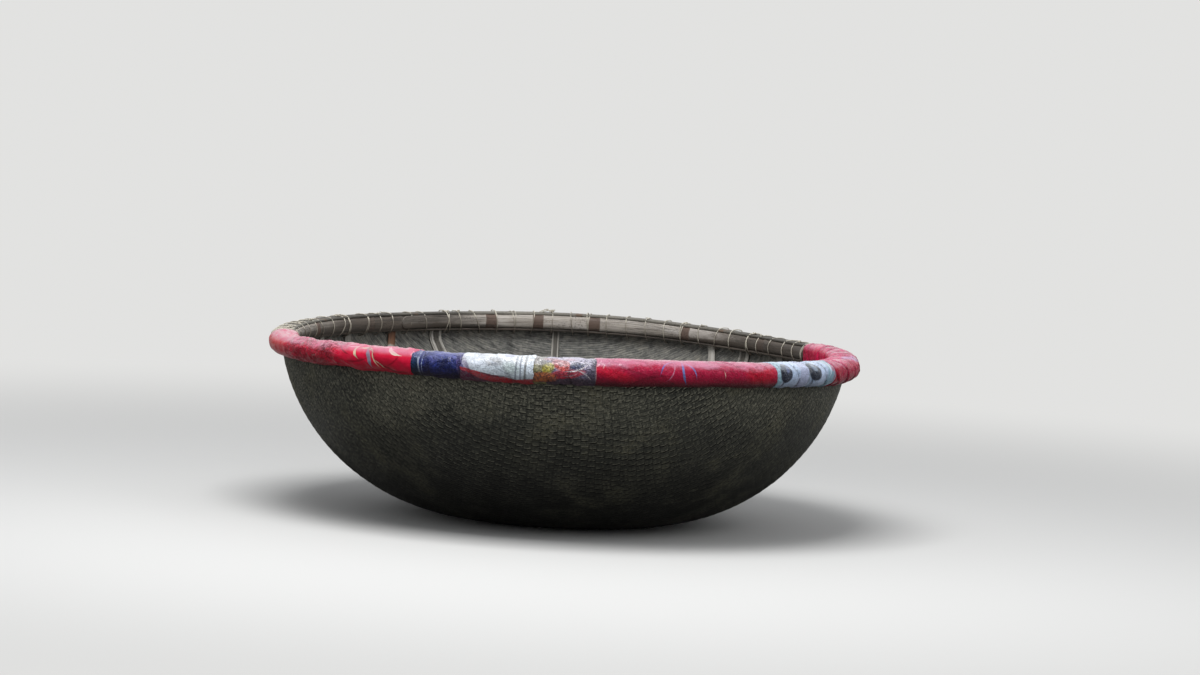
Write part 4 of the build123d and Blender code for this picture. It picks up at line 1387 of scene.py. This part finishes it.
CRIMSON_FRONT = banner_cloth(
    "cloth_crimson_front",
    (0.42, 0.010, 0.050),
    (0.25, 0.006, 0.030),
    (0.62, 0.26, 0.38),
    (
        (past, ((0.005, 0.09), 90), (0.52, 0.44, 0.46), 0.85),
        (stroke, ((0.016, 0.104), 0.034, 0.0055, 58, 9.0), (0.72, 0.60, 0.62), 0.75),
        (stroke, ((0.029, 0.094), 0.022, 0.0040, 66, -6.0), (0.66, 0.50, 0.52), 0.70),
        (stroke, ((0.046, 0.108), 0.020, 0.0034, 40, 6.0), (0.66, 0.50, 0.52), 0.65),
        (stroke, ((0.235, 0.105), 0.085, 0.0055, 42, -9.0), (0.10, 0.13, 0.40), 0.85),
        (stroke, ((0.262, 0.080), 0.090, 0.0040, 66, 7.0), (0.55, 0.22, 0.34), 0.80),
        (stroke, ((0.296, 0.082), 0.098, 0.0080, 97, -5.0), (0.10, 0.20, 0.50), 0.90),
        (stroke, ((0.330, 0.096), 0.075, 0.0060, 128, 8.0), (0.10, 0.18, 0.45), 0.85),
        (stroke, ((0.450, 0.078), 0.030, 0.0034, 100, 4.0), (0.66, 0.46, 0.40), 0.75),
        (oval, ((0.060, 0.070), 0.140, 0.034, -14, 0.5), (0.56, 0.008, 0.030), 0.70),
        # The next three dark strokes are painted shade along folds.
        (stroke, ((0.110, 0.086), 0.150, 0.0070, -22, 2.0), (0.19, 0.004, 0.022), 0.60),
        (stroke, ((0.420, 0.094), 0.240, 0.0080, -10, 1.5), (0.20, 0.005, 0.026), 0.55),
        (stroke, ((0.180, 0.062), 0.160, 0.0080, 14, -2.0), (0.16, 0.004, 0.020), 0.55),
        (oval, ((0.600, 0.090), 0.100, 0.130, 90, 0.3), (0.50, 0.006, 0.024), 0.70),
    ),
    wear=0.14,
    gloss=0.26,
    top_sheen=0.72,
    crumpled=0.42,
    low=0.88,
)
PALE_BLUE_WRAP = banner_cloth(
    "cloth_pale_blue",
    (0.56, 0.66, 0.88),
    (0.29, 0.40, 0.56),
    (0.84, 0.91, 1.00),
    (
        (stripe, ((0.150, 0.10), 0.052, 74, 0.006), (0.42, 0.43, 0.62), 0.70),
        (stripe, ((0.020, 0.10), 0.030, 84, 0.005), (0.26, 0.44, 0.50), 0.70),
        (stripe, ((0.335, 0.10), 0.060, 72, 0.010), (0.16, 0.33, 0.40), 0.70),
        (stroke, ((0.322, 0.094), 0.070, 0.0090, 70, 5.0), (0.60, 0.70, 0.82), 0.75),
        (stroke, ((0.345, 0.072), 0.060, 0.0080, 64, -5.0), (0.46, 0.030, 0.120), 0.75),
        (stripe, ((0.208, 0.10), 0.014, 70, 0.003), (0.10, 0.16, 0.28), 0.60),
        (oval, ((0.050, 0.088), 0.078, 0.054, 76), INK, 1.0),
        (oval, ((0.060, 0.100), 0.034, 0.016, 70, 0.3), (0.10, 0.13, 0.28), 0.70),
        (oval, ((0.212, 0.094), 0.076, 0.080, 68), INK, 1.0),
        (oval, ((0.216, 0.104), 0.032, 0.034, 70, 0.3), (0.24, 0.30, 0.40), 0.85),
        (stroke, ((0.170, 0.062), 0.060, 0.0100, 60, 3.0), (0.18, 0.20, 0.24), 0.70),
        (oval, ((0.345, 0.098), 0.036, 0.020, 40, 0.3), (0.45, 0.012, 0.070), 0.70),
    ),
    wear=0.16,
    top_sheen=0.25,
    crumpled=0.45,
    low=0.50,
    speckle=0.25,
)
MAGENTA_WRAP = banner_cloth(
    "cloth_magenta",
    (0.54, 0.012, 0.068),
    (0.34, 0.008, 0.036),
    (0.66, 0.21, 0.34),
    (
        (past, ((0.060, 0.09), 74), (0.42, 0.010, 0.030), 0.70),
        (oval, ((0.290, 0.116), 0.180, 0.032, -11, 0.2), (0.44, 0.38, 0.70), 1.0),
        (oval, ((0.262, 0.103), 0.150, 0.016, -11, 0.3), (0.58, 0.020, 0.080), 0.80),
        # The two dark stripes are painted shade along folds.
        (stripe, ((0.420, 0.10), 0.010, 66, 0.004), (0.16, 0.004, 0.022), 0.60),
        (stripe, ((0.640, 0.10), 0.007, 60, 0.003), (0.16, 0.004, 0.022), 0.55),
    ),
    wear=0.18,
    top_sheen=0.60,
    crumpled=0.55,
    low=0.62,
)

# name, node, cloth, start and end azimuth, distance between turns, slant of the turns, height of an edge,
# creasing, seed, and for one the length from its start that lies tight
WRAPS = (
    (
        "banner_magenta_end", "wrap_magenta_end", MAGENTA_WRAP,
        -25.0, WRAPS_UNTIL, 0.105, 0.75, 0.0036, 0.0026, 31,
    ),
    (
        "banner_crimson_left", "wrap_crimson_left", CRIMSON_LEFT,
        WRAPS_FROM, 240.0, 0.260, 0.50, 0.0024, 0.0036, 33, 0.30,
    ),
    ("banner_navy", "wrap_navy", NAVY_WRAP, 240.0, 250.9, 0.130, 0.60, 0.0020, 0.0030, 34),
    ("banner_white", "wrap_white", WHITE_WRAP, 250.9, 264.3, 0.120, 0.60, 0.0020, 0.0028, 35),
    ("banner_mixed", "wrap_mixed", MIXED_WRAP, 264.3, 276.5, 0.090, 0.60, 0.0024, 0.0034, 36),
    (
        "banner_crimson_front", "wrap_crimson_front", CRIMSON_FRONT,
        276.5, 314.3, 0.360, 0.45, 0.0016, 0.0017, 37,
    ),
    ("banner_pale_blue", "wrap_pale_blue", PALE_BLUE_WRAP, 314.3, 335.0, 0.085, 0.80, 0.0032, 0.0026, 38),
)

# Lap over the next wrap at each end, for odd seeds, spacing of the points along a wrap and their number
# round it, and the angles of its outline at the outer and the inner foot
LAP = 0.010
WRAP_ROW = 0.0050
WRAP_COLUMNS = 72
FOOT_ANGLES = (-88, 262)

# How much thinner the wrapped bundle is below, by azimuth
THINNER = (
    (-25, 0.0045), (0, 0.0040), (27, 0.0010), (176, 0.0), (205, 0.0015), (222, 0.0055), (240, 0.0030),
    (255, 0.0), (285, 0.0), (304, 0.0055), (322, 0.0050), (335, 0.0045),
)


def bundle_section(turn):
    """The wrapped bundle's outline at an angle: a superellipse, squarer inside and below than elsewhere."""
    power = 2.15 + 0.6 * smooth_step(0.1, -0.8, np.sin(turn)) + 1.2 * smooth_step(0.2, -0.8, np.cos(turn))
    r = np.sign(np.cos(turn)) * np.abs(np.cos(turn)) ** (2 / power)
    z = np.sign(np.sin(turn)) * np.abs(np.sin(turn)) ** (2 / power)
    return WRAP_CENTRE_R + WRAP_HALF_R * r, WRAP_CENTRE_Z + WRAP_HALF_Z * z


def make_wrap(name, node, cloth, start, end, pitch, slant, step, crease, seed, tight_until=-1.0):
    """Banner cloth wound round the bundle: the outline's angle runs from the outer foot over the top to the
    inner foot. A saw wave along the rim that drifts with the angle lifts each turn's edge, stretched noise
    pulls creases across the cloth, and both ends are folded in. The cloth lies tight without creases up to a
    given length. It is a closed skin of even thickness."""
    lap = LAP / RIM_RADIUS if seed % 2 else 0.0
    first = math.radians(start) - lap
    last = math.radians(end) + lap
    length = (last - first) * RIM_RADIUS
    rows = int(length / WRAP_ROW) + 2
    theta = np.linspace(first, last, rows)[:, None]
    outer_foot, inner_foot = (math.radians(angle) for angle in FOOT_ANGLES)
    fine = np.linspace(outer_foot, inner_foot, 500)
    run = run_length(np.stack(bundle_section(fine), axis=1))
    turn = np.interp(np.linspace(0, run[-1], WRAP_COLUMNS), run, fine)
    ring_r, ring_z = bundle_section(turn)
    around = run_length(np.stack([ring_r, ring_z], axis=1))[None, :]
    along = (theta - first) * RIM_RADIUS
    wander = (
        0.45 * value_noise(along * 7 + 9, around * 8 + 3, seed)
        + 0.10 * value_noise(along * 30 + 9, around * 30 + 3, seed + 1)
    )
    phase = along / pitch + slant * around / 0.14 + wander
    saw = phase - np.floor(phase)
    edge = step * (1 - saw) * smooth_step(0.0, 0.006 / pitch, saw)
    long_fold = value_noise(along * 20 + around * 22 + 70, around * 13 - along * 6 + 90, seed + 50)
    pull = value_noise(along * 40 + around * 30 + 20, around * 24 - along * 12 + 10, seed + 60)
    crumple = (
        value_noise(along * 46 + 7, around * 50 + 5, seed + 80)
        * value_noise(along * 5 + 3, around * 6 + 2, seed + 90)
    )
    folds = crease * (1 - np.abs(2 * long_fold - 1)) ** 2 + crease * 0.7 * (1 - np.abs(2 * pull - 1)) ** 2
    folds = folds + crease * (crumple - 0.3)
    ragged = along + 0.08 * (long_fold - 0.5)
    folds = folds * (smooth_step(tight_until - 0.04, tight_until + 0.10, ragged) * 0.88 + 0.12)
    sag = (value_noise(along * 9 + 30, around * 14 + 30, seed + 70) - 0.5) * 0.0032
    ends = smooth_step(0, 0.005, np.minimum(along, length - along))
    push = -0.0028 + edge + folds + sag + (0.0020 if seed % 2 else 0.0)
    push = push * ends - 0.0030 * (1 - ends)
    size = np.hypot(np.gradient(ring_r), np.gradient(ring_z))
    out_r, out_z = np.gradient(ring_z) / size, -np.gradient(ring_r) / size
    thin = np.interp(np.degrees(theta), *zip(*THINNER)) * smooth_step(0.1, -0.8, np.sin(turn))
    lowered = np.interp(np.mod(np.degrees(theta), 360), *zip(*LOWERED))
    shift = thin - lowered * smooth_step(-0.2, 0.7, np.sin(turn))
    layers = []
    for lift in (push, push - CLOTH_THICKNESS):
        radius = ring_r + out_r * lift
        height = ring_z + out_z * lift + shift
        layer = np.stack([radius * np.cos(theta), radius * np.sin(theta), height], axis=-1)
        layers.append(layer.reshape(-1, 3))
    outer, _ = grid_quads(along[:, 0], around[0], rows, WRAP_COLUMNS)
    count = rows * WRAP_COLUMNS
    inner = outer[:, ::-1] + count
    grid = np.arange(count).reshape(rows, WRAP_COLUMNS)
    border = np.concatenate([grid[0, :-1], grid[:-1, -1], grid[-1, :0:-1], grid[:0:-1, 0]])
    after = np.roll(border, -1)
    walls = np.stack([border, after, after + count, border + count], axis=1)
    uv = np.stack(np.broadcast_arrays(along, around), axis=-1).reshape(-1, 2)
    uv = np.concatenate([uv, uv])
    piece = make_piece(
        name,
        np.concatenate(layers),
        [(faces, uv[faces]) for faces in (outer, inner, walls)],
        "cloth",
        (cloth,),
        flat_parts=1,
    )
    # Painted shadow beside each turn's lifted edge, and at the folded-in ends of a wrap that doesn't lap.
    shadow = smooth_step(1 - 0.010 / pitch, 1.0, saw) * min(step / 0.0028, 1.0)
    at_ends = smooth_step(0.012, 0.0, np.minimum(along, length - along))
    shadow = np.maximum(shadow, at_ends * (0.0 if seed % 2 else 0.9))
    add_numbers(piece, "fold", np.tile(shadow.ravel(), 2))
    add_numbers(piece, "top", np.tile(np.broadcast_to(np.sin(turn), shadow.shape).ravel(), 2))
    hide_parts(node)


for wrap in WRAPS:
    make_wrap(*wrap)


# Floor, light and camera


def make_floor():
    """A pale plain floor that reaches past the view. The camera and reflections see it pale, and it throws
    less light back up at the boat's underside than so pale a floor would."""
    f = Finish("floor_paint", roughness=0.9)
    dull = f.node("ShaderNodeBsdfDiffuse", Color=(0.34, 0.34, 0.33))
    rays = [f.node("ShaderNodeLightPath", output=k) for k in (0, 3, 6)]
    seen = f.larger(rays[0], f.larger(rays[1], rays[2]))
    f.put(f.shader.inputs["Base Color"], (0.66, 0.66, 0.65))
    x, y, _ = f.parts_of(f.place())
    far = f.between(f.math("SQRT", x * x + y * y), 1.7, 5.5)
    glow = f.node("ShaderNodeEmission", Color=(0.76, 0.76, 0.75))
    pale = f.node("ShaderNodeMixShader", in_0=far)
    f.tree.links.new(f.shader.outputs[0], pale.socket.node.inputs[1])
    f.tree.links.new(glow.socket, pale.socket.node.inputs[2])
    both = f.node("ShaderNodeMixShader", in_0=seen)
    f.tree.links.new(dull.socket, both.socket.node.inputs[1])
    f.tree.links.new(pale.socket, both.socket.node.inputs[2])
    f.tree.links.new(both.socket, f.tree.nodes["Material Output"].inputs["Surface"])
    size = 300.0
    mesh = bpy.data.meshes.new("floor")
    mesh.from_pydata(
        [(-size, -size, 0), (size, -size, 0), (size, size, 0), (-size, size, 0)], [], [(0, 1, 2, 3)]
    )
    mesh.materials.append(f.material)
    floor = bpy.data.objects.new("floor", mesh)
    bpy.context.scene.collection.objects.link(floor)


def make_light():
    """An even pale world, white where the camera, a gloss or a clear surface sees it, and two soft lamps."""
    world = bpy.data.worlds.new("world")
    world.use_nodes = True
    tree = world.node_tree
    background = tree.nodes["Background"]
    seen = tree.nodes.new("ShaderNodeBackground")
    seen.inputs["Color"].default_value = (0.93, 0.93, 0.93, 1)
    seen.inputs["Strength"].default_value = 1.0
    background.inputs["Color"].default_value = (0.95, 0.97, 1.0, 1)
    background.inputs["Strength"].default_value = 0.42
    rays = tree.nodes.new("ShaderNodeLightPath")
    either = rays.outputs["Is Camera Ray"]
    for kind in ("Is Transmission Ray", "Is Glossy Ray"):
        node = tree.nodes.new("ShaderNodeMath")
        node.operation = "MAXIMUM"
        tree.links.new(either, node.inputs[0])
        tree.links.new(rays.outputs[kind], node.inputs[1])
        either = node.outputs[0]
    blend = tree.nodes.new("ShaderNodeMixShader")
    tree.links.new(either, blend.inputs[0])
    tree.links.new(background.outputs[0], blend.inputs[1])
    tree.links.new(seen.outputs[0], blend.inputs[2])
    tree.links.new(blend.outputs[0], tree.nodes["World Output"].inputs["Surface"])
    bpy.context.scene.world = world
    for name, place, size, power in (
        ("lamp_high", (-0.6, -2.0, 5.0), 3.0, 260.0),
        ("lamp_side", (4.0, -3.5, 3.5), 3.0, 45.0),
    ):
        data = bpy.data.lights.new(name, "AREA")
        data.size = size
        data.energy = power
        lamp = bpy.data.objects.new(name, data)
        lamp.location = place
        lamp.rotation_euler = (Vector((0, 0, 0.3)) - Vector(place)).to_track_quat("-Z", "Y").to_euler()
        bpy.context.scene.collection.objects.link(lamp)


def make_camera():
    """Looks along +Y at the rim's middle from a long way off: the aim is turned until that middle falls on
    its pixel of the photograph, and then the camera is rolled about its own axis."""
    target = Vector((0, 0, RIM_CENTRE_HEIGHT))
    place = target + CAMERA_DISTANCE * Vector((0, -math.cos(CAMERA_ELEVATION), math.sin(CAMERA_ELEVATION)))
    ahead = (target - place).normalized()
    right = Vector((1, 0, 0))
    up = right.cross(ahead)
    right, up = (
        right * math.cos(CAMERA_ROLL) + up * math.sin(CAMERA_ROLL),
        up * math.cos(CAMERA_ROLL) - right * math.sin(CAMERA_ROLL),
    )
    focal = CAMERA_LENS / SENSOR_WIDTH * PHOTO_WIDTH
    aside = (PHOTO_WIDTH / 2 - RIM_CENTRE_PIXEL[0]) / focal
    above = (RIM_CENTRE_PIXEL[1] - PHOTO_HEIGHT / 2) / focal
    ahead = (ahead + aside * right + above * up).normalized()
    right = ahead.cross(up).normalized()
    up = right.cross(ahead)
    turn = Matrix((right, up, -ahead)).transposed()
    data = bpy.data.cameras.new("camera")
    data.lens = CAMERA_LENS
    data.sensor_width = SENSOR_WIDTH
    data.clip_end = 1000.0
    camera = bpy.data.objects.new("camera", data)
    camera.matrix_world = Matrix.Translation(place) @ turn.to_4x4()
    bpy.context.scene.collection.objects.link(camera)
    bpy.context.scene.camera = camera


make_floor()
make_light()
make_camera()
bpy.context.scene.view_settings.view_transform = "Standard"
